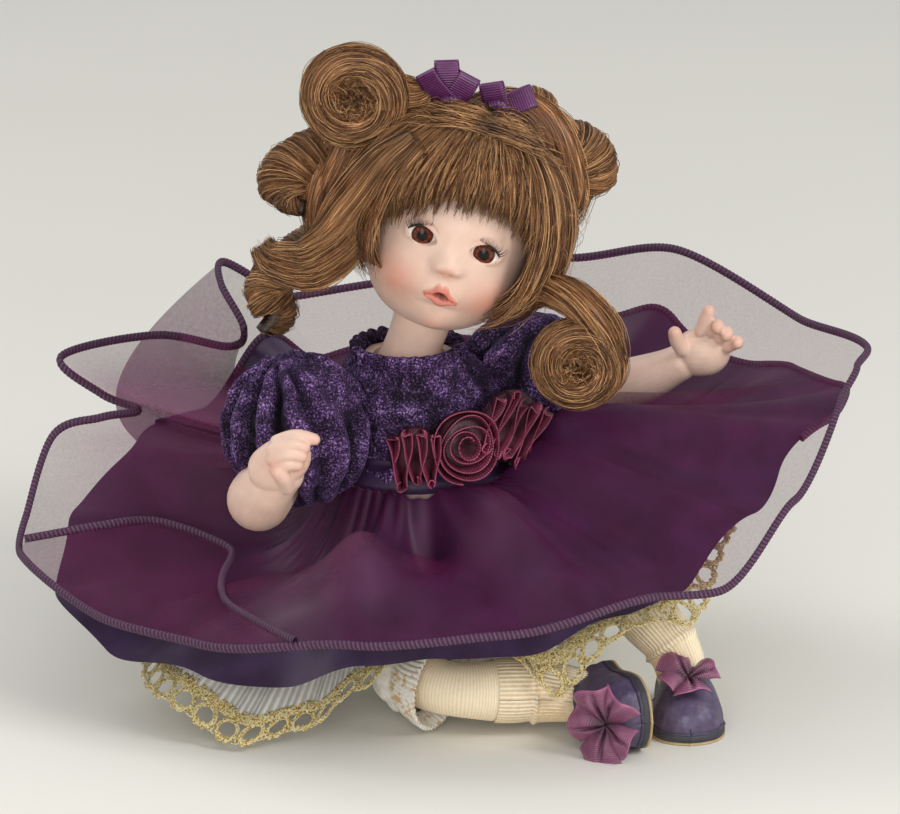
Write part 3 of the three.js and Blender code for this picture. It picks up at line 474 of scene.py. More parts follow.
COTTON = tinted("white cotton", 0.88, 1.06, 0.8, 0.12, Roughness=0.9, Sheen_Weight=0.3)
LEATHER = tinted("violet leather", 0.8, 1.2, 1.2, 0.12, Roughness=0.45)
SOLE = tinted("sole rubber", 0.85, 1.12, 0.9, 0.06, Roughness=0.6)


def finish_hidden(finish, *names):
    """Solids inside the doll are seen as they were packed."""
    for name in names:
        inner = frame["nodes"][name]
        inner.data.materials.clear()
        inner.data.materials.append(finish)


finish_hidden(
    speckled("raw bisque", linear(226, 196, 180), linear(242, 214, 200), 3, 0.05, Roughness=0.6),
    "torso",
)
finish_hidden(
    speckled("covered elastic", linear(206, 200, 186), linear(232, 228, 218), 0.6, Roughness=0.9),
    "arm_elastic", "leg_elastic", "body_elastic",
)
finish_hidden(
    speckled(
        "steel wire", linear(120, 120, 118), linear(168, 168, 166), 1, 0.03,
        Roughness=0.35, Metallic=1.0,
    ),
    "neck_hook", "arm_hook_right", "arm_hook_left", "leg_hook_right", "leg_hook_left",
)
finish_hidden(
    speckled("pate card", linear(220, 212, 196), linear(240, 234, 222), 1, Roughness=0.9),
    "pate",
)


# Head

SIDES = {"right": -1, "left": 1}
NECK = 1000 * np.array(next(j["pos_m"] for j in frame["joints"] if j["name"] == "head_turn"))
HEAD_TURN = spin("z", -27) @ spin("y", 17.5) @ spin("x", 1)
HEAD_RADII = np.array([16.5, 17.5, 20.4])
HEAD_CENTRE = 29.6
JAW_FULLNESS = 0.62
NECK_RADIUS = 5.6
FACE_LEAN = 0.065
EYE_RADIUS = 4.3
EYE_DEPTH = -11.7
EYE_SPREAD = 6.4
EYE_RISE = 0.9
LID_RADIUS = 4.75
LID_HALF = 3.15
LID_TOP = 2.1
LID_FOOT = 1.75
MOUTH_DROP = -8.4
MOUTH_HALF = 3.4
NECK_FOOT = -1.5
# Cheeks, bridge, tip, wings, nostrils and groove of the nose, muzzle, dip below the lip, chin and brow:
# place across, place in height, spread across, spread in height, rise
FACE_FORMS = [
    (-8.4, -7.8, 5.6, 5.4, 1.5),
    (8.4, -7.8, 5.6, 5.4, 1.5),
    (0, 1, 2.2, 3.4, 0.4),
    (0, -2.5, 2.5, 2.1, 2.1),
    (-2.1, -3.2, 1.2, 1.1, 0.75),
    (2.1, -3.2, 1.2, 1.1, 0.75),
    (-1, -4.3, 0.5, 0.4, -0.45),
    (1, -4.3, 0.5, 0.4, -0.45),
    (0, -5.4, 0.8, 0.8, -0.3),
    (0, -8.5, 4.2, 3.6, 1.4),
    (0, -11.9, 2.8, 0.8, -0.5),
    (0, -15.4, 3.8, 2.8, 1.6),
    (0, 9, 9, 9, 0.6),
]
# Blush on the cheeks, the nose, the chin and the nostrils, in the same order with its strength
BLUSHES = [
    (-9.2, -9, 4.6, 4.4, 0.55),
    (9.2, -9, 4.6, 4.4, 0.55),
    (0, -3.6, 1.6, 1.4, 0.3),
    (0, -15.5, 3, 2.4, 0.28),
    (-1, -4.3, 0.5, 0.45, 0.6),
    (1, -4.3, 0.5, 0.45, 0.6),
]

SKIN = linear(243, 207, 187)
BLUSH = linear(228, 128, 98)
LIPS = linear(216, 118, 100)
MOUTH_DARK = linear(44, 12, 12)


def on_head(points):
    """Head-local millimetres, with the neck's turning point as origin, to the doll's frame."""
    return NECK + np.asarray(points, float) @ HEAD_TURN.T


def midline(z):
    return 0.3 - FACE_LEAN * z


def lids(u):
    arch = np.clip(1 - u * u, 0, 1)
    return LID_TOP * arch ** 0.65, -LID_FOOT * arch ** 0.8


def eye_middle(side):
    return midline(EYE_RISE) + SIDES[side] * EYE_SPREAD


def lid_slant(u):
    return -0.12 * u


def face_relief(x, z):
    """Height of the modelled face above the plain skull, and its painted colour."""
    x = x - midline(z)
    height = mounds(FACE_FORMS, x, z)
    tint = np.broadcast_to(SKIN, (*x.shape, 3))

    def paint(tint, colour, weight):
        return mix(tint, colour, np.clip(weight, 0, 1)[..., None])

    for blush in BLUSHES:
        tint = paint(tint, BLUSH, mounds([blush], x, z))

    u = np.clip(x / MOUTH_HALF, -1, 1)
    rise = z - MOUTH_DROP + 0.7 * np.abs(u) ** 1.5 + 0.25 * u
    open_half = 0.62 * np.clip(1 - (u / 0.44) ** 2, 0, 1)
    bow = 1 + 0.25 * mound(np.abs(u) - 0.3, 0.2) - 0.35 * mound(u, 0.14)
    upper = 1.75 * (1 - np.abs(u) ** 1.4) * bow + 0.01
    lower = 2.2 * (1 - np.abs(u) ** 1.7) + 0.01
    inside = np.abs(x) < MOUTH_HALF
    top = np.clip((rise - open_half) / upper, 0, 1)
    foot = np.clip((-open_half - rise) / lower, 0, 1)
    on_top = inside & (rise > open_half) & (top < 1)
    on_foot = inside & (rise < -open_half) & (foot < 1)
    gap = inside & (np.abs(rise) <= open_half)
    height = height + np.where(on_top, 0.75 * np.sin(np.pi * top ** 0.6), 0)
    height = height + np.where(on_foot, 0.95 * np.sin(np.pi * foot ** 0.7), 0)
    height = height - np.where(gap, 1.3, 0)
    red = np.where(on_top, 0.95 * (1 - top ** 4), 0) + np.where(on_foot, 0.9 * (1 - foot ** 3), 0)
    tint = paint(tint, LIPS, red)
    tint = paint(tint, MOUTH_DARK, np.where(gap, 1.0, 0))
    return height, tint


def head_points(columns=300, rows=236):
    t = np.linspace(-1, 1, columns, endpoint=False)
    fall, turn = net(np.pi * np.linspace(0.03, 0.94, rows), np.pi * (0.45 * t + 0.55 * t ** 3))
    girth = np.where(fall > np.pi / 2, np.sin(fall) ** JAW_FULLNESS, np.sin(fall))
    way = xyz(girth * np.sin(turn), -girth * np.cos(turn), np.cos(fall))
    points = way * HEAD_RADII
    front = ease(-1.6 * way[..., 1])
    step = HEAD_RADII[2] * np.pi * 0.91 / rows
    openings = np.zeros(turn.shape, bool)
    for side in SIDES:
        u = (points[..., 0] - eye_middle(side)) / LID_HALF
        within = (np.abs(u) < 1) & (front > 0.5)
        top, foot = lids(u)
        w = points[..., 2] - EYE_RISE - lid_slant(u)
        for edge in (top, foot):
            near = within & (np.abs(w - edge) < 0.52 * step)
            points[..., 2] += np.where(near, edge - w, 0)
            w = np.where(near, edge, w)
        openings |= within & (w < top - 0.02) & (w > foot + 0.02)
    height, tint = face_relief(points[..., 0], points[..., 2])
    points = points + way * (height * front)[..., None]
    for side in SIDES:
        dx, dz = points[..., 0] - eye_middle(side), points[..., 2] - EYE_RISE
        reach = np.hypot(dx / 4.4, dz / 3.7)
        lid = EYE_DEPTH - np.sqrt(np.clip(LID_RADIUS ** 2 - dx ** 2 - dz ** 2, 0.01, None))
        weight = np.where(front > 0.5, 1 - ease((reach - 0.8) / 0.6), 0)
        points[..., 1] = mix(points[..., 1], np.minimum(points[..., 1], lid), weight)
        u = np.clip(dx / LID_HALF, -1, 1)
        crease = dz - lid_slant(u) - lids(u)[0] - 1
        over_eye = np.where(np.abs(dx) < LID_HALF, 1 - u ** 4, 0)
        points[..., 1] += 0.25 * mound(crease, 0.3) * over_eye * (front > 0.5)
        shade = 0.35 * mound(dz - 2.4, 1.3) * mound(dx, 3.4) * (front > 0.5)
        tint = mix(tint, linear(205, 150, 132), shade[..., None])
    points[..., 1] += np.where(openings, 3.2, 0)
    plain = np.broadcast_to(SKIN, tint.shape)
    return points + [0, 0, HEAD_CENTRE], mix(plain, tint, front[..., None])


def neck_points(ring):
    """The neck goes on from the lowest ring of the head."""
    t = np.linspace(0, 1, 24)[:, None]
    angle = np.arctan2(ring[:, 1], ring[:, 0])
    wide = NECK_RADIUS * (1 + 0.12 * t ** 3)
    narrowed = ease(t / 0.5)
    return xyz(
        mix(ring[:, 0], wide * np.cos(angle), narrowed),
        mix(ring[:, 1], wide * np.sin(angle), narrowed),
        mix(ring[:, 2], NECK_FOOT, t),
    )


def make_head():
    points, tint = head_points()
    shape = Shape().surface(on_head(points), tint, round_columns=True)
    shape.surface(on_head(neck_points(points[-1])), SKIN, round_columns=True)
    shape.piece("head_bisque", BISQUE, "head", "bisque", "head")


def make_eye(side):
    """Glass eye: a pupil, a streaked iris with a dark rim, and the white."""
    rings, spokes = 64, 128
    polar = np.linspace(0.001, 1.75, rings)[:, None]
    angle = full_turn(spokes)[None, :]
    reach = EYE_RADIUS * np.sin(np.minimum(polar, np.pi / 2))
    radius = EYE_RADIUS + 0.22 * ease(1 - polar / 0.52)
    points = xyz(
        radius * np.sin(polar) * np.cos(angle),
        -radius * np.cos(polar),
        radius * np.sin(polar) * np.sin(angle),
    )
    streak = noise(xyz(6 * np.cos(angle), 6 * np.sin(angle), 0.6 * reach), 0.5)
    iris = mix(linear(54, 20, 12), linear(120, 58, 34), (0.5 + 0.5 * streak)[..., None])
    depth = np.clip((reach - 0.9) / 1.2, 0, 1)
    iris = iris * (0.55 + 0.75 * np.sin(np.pi * depth) ** 1.5)[..., None]
    tint = mix(np.array([0.004, 0.003, 0.003]), iris, ease((reach - 0.98) / 0.16)[..., None])
    tint = mix(tint, linear(36, 18, 14), (0.9 * mound(reach - 2.08, 0.16))[..., None])
    tint = mix(tint, linear(236, 228, 220), ease((reach - 2.1) / 0.18)[..., None])
    place = np.array([eye_middle(side), EYE_DEPTH, HEAD_CENTRE + EYE_RISE])
    shape = Shape().surface(on_head(points + place), tint, round_columns=True)
    shape.piece(f"glass_eye_{side}", EYE_GLASS, "head", "eye_glass", f"eye_{side}")


def lid_point(side, u, w, lift=0.0):
    dx = u * LID_HALF
    dz = w + lid_slant(u)
    dy = -np.sqrt(LID_RADIUS ** 2 - dx ** 2 - dz ** 2) - lift
    return xyz(eye_middle(side) + dx, EYE_DEPTH + dy, HEAD_CENTRE + EYE_RISE + dz)


def make_lashes():
    """Upper lashes stand out from the lid's edge, and the lower ones are fine painted strokes."""
    shape = Shape()
    dark = linear(34, 20, 15)
    for side in SIDES:
        u = np.linspace(-0.97, 0.97, 60)
        edge = lid_point(side, u, lids(u)[0], 0.02)
        shape.tubes(on_head(edge)[None], 0.3 * (1 - 0.6 * np.abs(u) ** 4)[None], 6, dark, flat=0.7)
        count = 34
        u = np.linspace(-0.92, 0.95, count) + chance.uniform(-0.02, 0.02, count)
        root = lid_point(side, u, lids(u)[0])
        s = np.linspace(0, 1, 7)[None, :, None]
        long = (chance.uniform(1.3, 2.0, count) * (0.8 + 0.35 * np.abs(u)))[:, None, None]
        fan = xyz(0.75 * u, -0.75, 0.45)[:, None]
        lash = root[:, None] + long * (s * fan + s * s * np.array([0, 0.15, 0.55]))
        shape.tubes(on_head(lash), 0.09 * (1 - 0.75 * s[..., 0]), 4, dark)
        u = np.linspace(-0.7, 0.85, 12)
        root = lid_point(side, u, lids(u)[1] - 0.12)
        fan = xyz(0.4 * u, -0.06, -0.75)[:, None]
        stroke = root[:, None] + 0.85 * s * fan + s * s * np.array([0, 0.22, 0])
        shape.tubes(on_head(stroke), 0.04 * (1 - 0.7 * s[..., 0]), 4, linear(120, 84, 70))
    shape.piece("lashes", LASH, "head", "hair")


# Hair

WIG_RADII = np.array([23.5, 22.5, 25])
FRINGE_RADII = np.array([19.8, 21, 23.2])
# Angles on the scalp, from the middle of the face: where the wig's sides begin and where the fringe ends
WIG_FRONT = 0.72
FRINGE_HALF = 0.95
# Angle from the middle of the face, and the fringe's fall there from the crown
FRINGE_EDGE = np.array([
    [-FRINGE_HALF, 1.6], [-0.72, 1.42], [-0.2, 1.12], [0.25, 1.08], [0.6, 1.16], [FRINGE_HALF, 1.4],
])
STRAND = 0.075
# Width of a ringlet's ribbon of hair, in turns
RINGLET_BAND = 0.9
HAIR_DARK = linear(54, 32, 19)
HAIR_MIDDLE = linear(142, 92, 55)
HAIR_LIGHT = linear(238, 186, 130)
BUN_MIDDLE = np.array([-27, -2, 49.6])
COIL_MIDDLE = np.array([31.4, -15, 14.6])
HAIR_RIBBON = 4.8
# Locks that fill the hair behind the curls: x, y, z, half width, half depth
HANGING_LOCKS = {
    "curl_right_upper": [
        [[-25, 3, 43, 3.4, 3], [-25.2, 2, 35, 4, 3], [-22.9, 1, 26.5, 4.4, 3], [-18.5, -1, 18.5, 4, 2.6]],
        [
            [-28, 3, 40, 2.6, 2.6], [-29, 3, 32, 3.2, 3], [-27, 2, 25.4, 3.6, 3],
            [-23, 1, 18.4, 3.4, 2.6], [-22, 0, 13, 2.6, 2],
        ],
    ],
    "curl_left_top": [
        [
            [-3, 7, 50, 4, 4], [3, 7, 52.6, 5, 4.4], [9.4, 6, 53, 5, 4.4], [15.5, 5, 50, 5, 4.4],
            [19.6, 4.5, 44, 4.6, 4], [20, 3, 36, 4, 3],
        ],
    ],
}


def hair_colour(share):
    """Chestnut, from its dark hairs at 0 to its light ones at 1."""
    share = np.clip(share, 0, 1)[..., None]
    darker = mix(HAIR_DARK, HAIR_MIDDLE, 2 * share)
    return np.where(share < 0.5, darker, mix(HAIR_MIDDLE, HAIR_LIGHT, 2 * share - 1))


def hair_tints(count, base):
    return hair_colour(chance.normal(0.48 + base, 0.32, count))


def along_tint(tints, length, dark_root=0.45, dark_tip=0.6):
    """Each hair is darker at its root and towards its tip."""
    t = np.linspace(0, 1, length)
    shade = np.minimum(mix(dark_root, 1.0, ease(t / 0.3)), mix(dark_tip, 1.0, ease((1 - t) / 0.2)))
    return tints[:, None] * shade[None, :, None]


def taper(length, thick):
    t = np.linspace(0, 1, length)
    return thick * (0.45 + 0.55 * ease((1 - t) / 0.15))[None]


def scalp(turn, fall, lift, radii=WIG_RADII):
    size = radii + np.asarray(lift)[..., None]
    way = xyz(np.sin(fall) * np.sin(turn), -np.sin(fall) * np.cos(turn), np.cos(fall))
    return size * way + [0, 0, HEAD_CENTRE]


def combed(
    count, turns, ends, spread, lift=(-1.6, 0.3), clump=0.055, length=20, curl_in=3.0, radii=WIG_RADII
):
    """Hairs combed from the crown down over the scalp, drawn together in locks."""
    start = chance.uniform(*turns, count)
    lock = np.round(start / clump)
    locks = np.unique(lock)
    number = np.searchsorted(locks, lock)
    own_lift = chance.uniform(-0.55, 0.55, len(locks))[number]
    phase = chance.uniform(0, 2 * np.pi, len(locks))[number][:, None]
    t = np.linspace(0, 1, length)[None]
    pull = 0.7 * ease(t) * (lock * clump - start)[:, None]
    wave = 0.03 * np.sin(2 * np.pi * 1.1 * t + phase) * t
    turn = start[:, None] + pull + wave
    first = drawn(0.06, 0.3, count)
    last = ends(start)[:, None] + chance.normal(0, spread, count)[:, None]
    fall = mix(first, last, t)
    height = (chance.uniform(*lift, count) + own_lift)[:, None] * ease(0.3 + t) + 0.9 * np.sin(np.pi * t)
    height = height - curl_in * ease((t - 0.78) / 0.22) * drawn(0.4, 1, count)
    return scalp(turn, fall, height, radii)


def hair_mass(shape, points, flow, shade, lumps, round_rows=False, round_columns=False):
    """A body of hair, streaked and ridged along one way of its grid."""
    def run(way):
        steps = np.diff(points, axis=way, prepend=points.take([0], way))
        return np.cumsum(np.linalg.norm(steps, axis=-1), axis=way)

    along = run(flow)
    weave = xyz(along, run(1 - flow).mean(axis=flow, keepdims=True), 0)
    lock = noise(weave / [14, 1.2, 1], 1, 31)
    fine = noise(weave / [9, 0.4, 1], 1, 32)
    slopes = np.gradient(points, axis=(0, 1))
    out = unit(np.cross(slopes[0], slopes[1]))
    ridged = points + (lumps * (lock + 0.5 * fine))[..., None] * out
    tint = shade * hair_colour(0.45 + 0.3 * lock + 0.35 * fine)
    shape.surface(on_head(ridged), tint, weave, round_rows, round_columns)


def hairs(shape, paths, thick=STRAND, base=0.05, frizz=0.25, **shades):
    """Each hair strays a little from its path, more towards its end."""
    count, length = paths.shape[:2]
    t = np.linspace(0, 1, length)[None, :, None]
    stray = 0
    for waves in (1, 2.3, 4.1):
        way = chance.normal(0, 1, (count, 1, 3))
        phase = chance.uniform(0, 1, (count, 1, 1))
        stray = stray + way * np.sin(2 * np.pi * (waves * t + phase)) / waves
    paths = paths + frizz * stray * (0.25 + t)
    tints = along_tint(hair_tints(count, base), length, **shades)
    shape.tubes(on_head(paths), taper(length, thick), 3, tints)


def swept_back(count, way):
    """Hairs drawn from the parting across the crown to one side."""
    t = np.linspace(0, 1, 22)[None]
    start = drawn(0.1, 0.45, count)
    turn = way * mix(0.0, drawn(1.2, 1.9, count), t ** 0.8)
    fall = start + (0.15 + 0.5 * start) * t ** 1.5
    lift = drawn(-1.2, 0.9, count) + 0.8 * np.sin(np.pi * t)
    return scalp(turn, fall, lift)


def make_wig_cap():
    for side, way in SIDES.items():
        shape = Shape()
        turn, fall = net(way * np.linspace(WIG_FRONT, np.pi + 0.03, 260), np.linspace(0.02, 2.1, 60))
        # The hair beneath the loose hairs is made a little darker as painted shade.
        hair_mass(shape, scalp(turn, fall, -0.9 - 3.5 * ease((fall - 1.75) / 0.35)), 1, 0.85, 0.4)
        deep = 2.2 if way > 0 else 1.95
        front = sorted((way * WIG_FRONT, way * 1.8))
        hairs(shape, combed(560, front, lambda start: deep + 0 * start, 0.09))
        back = sorted((way * 1.75, way * np.pi))
        hairs(shape, combed(480, back, lambda start: 2.25 + 0.1 * np.cos(3 * start), 0.08))
        hairs(shape, swept_back(260, way), STRAND, 0.1, 0.45)
        shape.piece(f"wig_hair_{side}", HAIR, "head", "hair", "wig_cap")


def make_fringe():
    shape = Shape()

    def ends(start):
        return np.interp(start, *FRINGE_EDGE.T)

    turn, share = net(np.linspace(-FRINGE_HALF, FRINGE_HALF, 200), np.linspace(0, 1, 44))
    fall = mix(0.16, ends(turn) - 0.03, share)
    lift = np.interp(share, [0, 0.3, 1], [-1.2, 0.7, -1.2]) - 1.8 * ease((np.abs(turn) - 0.7) / 0.25)
    # The hair beneath the loose hairs is made a touch darker as painted shade.
    hair_mass(shape, scalp(turn, fall, lift, FRINGE_RADII), 1, 0.95, 0.45)
    for reach, rise in ((0.0, (-0.8, 0.2)), (0.05, (0.0, 1.0)), (-0.12, (0.6, 1.5))):
        paths = combed(
            620, (-FRINGE_HALF, FRINGE_HALF), lambda start: ends(start) + reach,
            spread=0.04, lift=rise, clump=0.085, length=17, curl_in=1.6, radii=FRINGE_RADII,
        )
        hairs(shape, paths, 0.07, 0.12, 0.3, dark_root=0.6, dark_tip=0.45)
    shape.piece("fringe_hair", HAIR, "head", "hair", "fringe")


def rolled(shape, middle, ring, thick, count, turns=1.4):
    """A curl seen end on: hairs wound round a ring, with loose ends in its hollow, darkened behind them by
    a disc of painted shade.
    """
    a, b = net(full_turn(180), full_turn(84))

    def on_ring(angle, round_angle, size, girth):
        out = girth + size * np.cos(round_angle)
        return middle + xyz(out * np.cos(angle), -size * np.sin(round_angle), out * np.sin(angle))

    uneven = thick * (0.95 + 0.05 * np.cos(2 * a + 1) + 0.03 * np.cos(5 * a))
    hair_mass(shape, on_ring(a, b, uneven, ring), 0, 1.0, 0.3, True, True)
    t = np.linspace(0, 1, 30)[None]
    angle = drawn(0, 2 * np.pi, count) + 2 * np.pi * drawn(0.4, 0.8, count) * turns * t
    lock = np.round(chance.uniform(-1.2, 4.4, count) / 0.45) * 0.45
    round_angle = (lock + chance.normal(0, 0.14, count))[:, None] + 0.9 * t
    size = thick * (drawn(0.95, 1.07, count) + 0.03 * np.cos(5 * angle + 3 * lock[:, None]))
    hairs(shape, on_ring(angle, round_angle, size, ring * (1.04 - 0.1 * t)), STRAND, 0.1, 0.4)
    loose = 560
    start = drawn(0, 2 * np.pi, loose)
    t = np.linspace(0, 1, 16)[None]
    reach = ring * mix(drawn(0.3, 0.95, loose), drawn(0, 0.7, loose), t)
    bend = start + drawn(-2.6, 2.6, loose) * t
    deep = thick * (drawn(-0.1, 0.8, loose) + 0.25 * np.sin(2 * np.pi * t + start))
    hairs(shape, middle + xyz(reach * np.cos(bend), -deep, reach * np.sin(bend)), 0.07, 0.1, 0.7)
    # A darker disc at the back of the hollow is painted shade.
    plug, spoke = net(np.linspace(0.01, ring, 14), full_turn(60))
    shade_disc = middle + xyz(plug * np.cos(spoke), 0.2 * thick, plug * np.sin(spoke))
    hair_mass(shape, shade_disc, 1, 0.6, 0.2, round_columns=True)


def sampled(stations, t):
    """Place, width and two directions across at shares t of a lock's length."""
    line = curve(stations, 160)
    across, other = frames(line[None, :, :3], np.array([0.1, 1, 0.1]))
    u = np.linspace(0, 1, 160)

    def at(values):
        return np.stack([np.interp(t, u, values[:, i]) for i in range(values.shape[1])], -1)

    return at(line[:, :3]), at(line[:, 3:]), at(across[0]), at(other[0])


def ringlet(shape, stations, turns, count, start):
    """A lock wound as a ribbon of hair round a dark core, painted dark as painted shade inside the lock."""
    # The dark core stands as painted shade seen between the turns of hair.
    shade_core = curve(stations, 40)
    shape.tubes(on_head(shade_core[None, :, :3]), 0.5 * shade_core[None, :, 3], 8, 0.5 * HAIR_DARK, capped=True)

    def wound(across, t, spread, full):
        share = t * (1 - RINGLET_BAND / turns) + (0.5 + across) * RINGLET_BAND / turns
        place, size, side, other = sampled(stations, np.clip(share, 0, 1))
        angle = 2 * np.pi * turns * t + start + spread
        reach = size[..., 0] * full * (1 - 0.35 * (2 * across) ** 4)
        reach = reach * mix(0.55, 1, ease(t / 0.15)) * mix(0.35, 1, ease((1 - t) / 0.14))
        level, deep = reach * np.cos(angle), reach * np.sin(angle)
        return place + level[..., None] * side + deep[..., None] * other

    across, t = net(np.linspace(-0.5, 0.5, 44), np.linspace(0, 1, 150))
    hair_mass(shape, wound(across, t, 0, 0.94), 1, 1.0, 0.2)
    lock = np.round(chance.uniform(-0.5, 0.5, count) * 6) / 6
    own = (lock + chance.normal(0, 0.05, count)).clip(-0.55, 0.55)[:, None]
    t = np.linspace(0, 1, 40)[None] + 0 * own
    spread = chance.normal(0, 0.06, count)[:, None]
    paths = wound(own + 0 * t, t, spread, drawn(0.92, 1.06, count))
    hairs(shape, paths, STRAND, 0.12, 0.3)


def swept_lock(shape, stations, count):
    """A lock of hairs lying side by side along its stations (x, y, z, half width, half depth)."""
    def laid(t, angle, full):
        place, size, across, other = sampled(stations, t)
        turn = angle + 0.5 * np.sin(2 * np.pi * t)
        level, deep = size[..., 0] * full * np.cos(turn), size[..., 1] * full * np.sin(turn)
        return place + level[..., None] * other + deep[..., None] * across

    t, angle = net(np.linspace(0, 1, 60), full_turn(110))
    hair_mass(shape, laid(t, angle, 0.93 - 0.6 * ease((t - 0.85) / 0.15)), 0, 1.0, 0.3, round_columns=True)
    angle = drawn(0, 2 * np.pi, count)
    t = np.linspace(0, 1, 24)[None] + 0 * angle
    hairs(shape, laid(t, angle, drawn(0.92, 1.08, count)), STRAND, 0.12, 0.35)


def make_cheek_lock():
    shape = Shape()
    swept_lock(shape, [
        [-12.6, -13.5, 48, 3, 1.6],
        [-17.4, -12.6, 41, 4.4, 2.2],
        [-20.4, -11.2, 31, 5.2, 2.6],
        [-21.4, -9, 22, 5.4, 3],
        [-25, -6.5, 14.5, 5, 3.2],
        [-32, -3.6, 12.6, 3.4, 2.6],
        [-35, -2.6, 14.4, 2, 1.8],
    ], 480)
    shape.piece("cheek_lock_hair", HAIR, "head", "hair", "cheek_lock")


def make_bun():
    shape = Shape()
    rolled(shape, BUN_MIDDLE, 7, 3.4, 340)
    swept_lock(
        shape,
        [[-12, 4, 51, 4, 4], [-18, 3.5, 49.5, 5.4, 4.4], [-25, 4, 49.4, 6.4, 4.6], [-27, 4, 49.6, 5, 3]],
        260,
    )
    shape.piece("bun_hair", HAIR, "head", "hair", "bun")


def make_ringlets():
    for name, stations, turns, start in (
        ("curl_right_upper", [
            [-20, 5, 40, 2.6], [-25, 5, 37.5, 3.8], [-31.4, 4, 33.4, 4.6], [-35, 2, 28.4, 4.8],
            [-33.6, 0.4, 23.4, 4.4], [-29, -0.6, 23.6, 3.4],
        ], 2.6, 0.4),
        ("ringlet_right_lower", [
            [-19.4, 8, 21, 3], [-25, 7, 15.6, 3.4], [-28.5, 6, 10, 4.2], [-31, 4.6, 4, 4.6],
            [-27.8, 3.6, -0.6, 4.4], [-29.4, 1.6, -4.6, 3.4],
        ], 3.4, 1.0),
        ("curl_left_top", [[2.4, 10, 52.6, 3.2], [8.5, 10, 54, 4.4], [14.4, 10, 51.4, 3.8]], 1.8, 2.0),
        ("ringlet_left_outer", [
            [14, 8, 50, 4.2], [19.5, 7.6, 51, 4.6], [23.6, 6.8, 46.5, 4.6], [22.6, 6.4, 39.5, 3.6],
        ], 2.0, 0.0),
    ):
        shape = Shape()
        ringlet(shape, stations, turns, 380, start)
        for lock in HANGING_LOCKS.get(name, []):
            swept_lock(shape, lock, 150)
        made = shape.piece(f"{name}_hair", HAIR, "head", "hair", name)
        if name == "ringlet_right_lower":
            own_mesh(made)


def make_coil():
    shape = Shape()
    rolled(shape, COIL_MIDDLE, 5.7, 3.6, 340, 1.6)
    swept_lock(shape, [
        [16, -4, 19, 2, 2], [18.6, -6.4, 22.4, 2.8, 2.4], [22, -10, 25.6, 3.2, 2.8],
        [28, -13.6, 26, 3.6, 3.2], [34, -15, 22.6, 3.6, 3.4], [38, -15.4, 16, 2.6, 2.4],
    ], 320)
    made = shape.piece("coil_left_hair", HAIR, "head", "hair", "coil_left")
    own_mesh(made)


def make_flyaways():
    shape = Shape()
    count = 260
    turn = drawn(0.9, 2 * np.pi - 0.9, count)
    t = np.linspace(0, 1, 16)[None]
    fall = drawn(0.2, 1.9, count) + drawn(0.15, 0.6, count) * t
    lift = 0.2 + drawn(0.8, 3.6, count) * np.sin(np.pi * t * drawn(0.4, 1, count))
    paths = scalp(turn + drawn(-0.5, 0.5, count) * t, fall, lift)
    hairs(shape, paths, 0.045, 0.25, 0.5)
    shape.piece("flyaway_hair", HAIR, "head", "hair")


def ribbon_strip(shape, line, wide, way):
    """A strip of ribbon along a line, as wide as asked along the given directions."""
    t = np.linspace(-0.5, 0.5, 9)[None, :, None]
    points = line[:, None] + t * wide * way[:, None]
    shape.surface(points, weave=xyz(lengths(line)[:, None], t[..., 0] * wide, 0))


def make_hair_bow(side, x, y, loops):
    """Ribbon folded to and fro and tied on the crown; each loop has its lean, its length and its turn."""
    level = 1 - (x / WIG_RADII[0]) ** 2 - (y / WIG_RADII[1]) ** 2
    rise = HEAD_CENTRE + WIG_RADII[2] * math.sqrt(level) - 0.6
    shape = Shape()
    for lean, long, turn in loops:
        a = np.linspace(0, 2 * np.pi, 44)
        loop = xyz(0.7 * np.sin(a) * (1 - np.cos(a)), 0, long * 0.5 * (1 - np.cos(a)))
        place = spin("y", lean) @ spin("z", turn)
        line = loop @ place.T + [x, y, rise]
        way = np.broadcast_to(place @ [0, 1, 0], line.shape)
        ribbon_strip(shape, on_head(line), HAIR_RIBBON, way @ HEAD_TURN.T)
    knot = curve([[x - 1.6, y, rise + 0.4], [x, y, rise + 1.4], [x + 1.6, y, rise + 0.4]], 12)
    shape.tubes(on_head(knot)[None], 1.3, 10, capped=True)
    shape.piece(f"ribbon_bow_{side}", RIBBON, "head", "ribbon", f"hair_bow_{side}", thick=0.15)


# Arms and hands

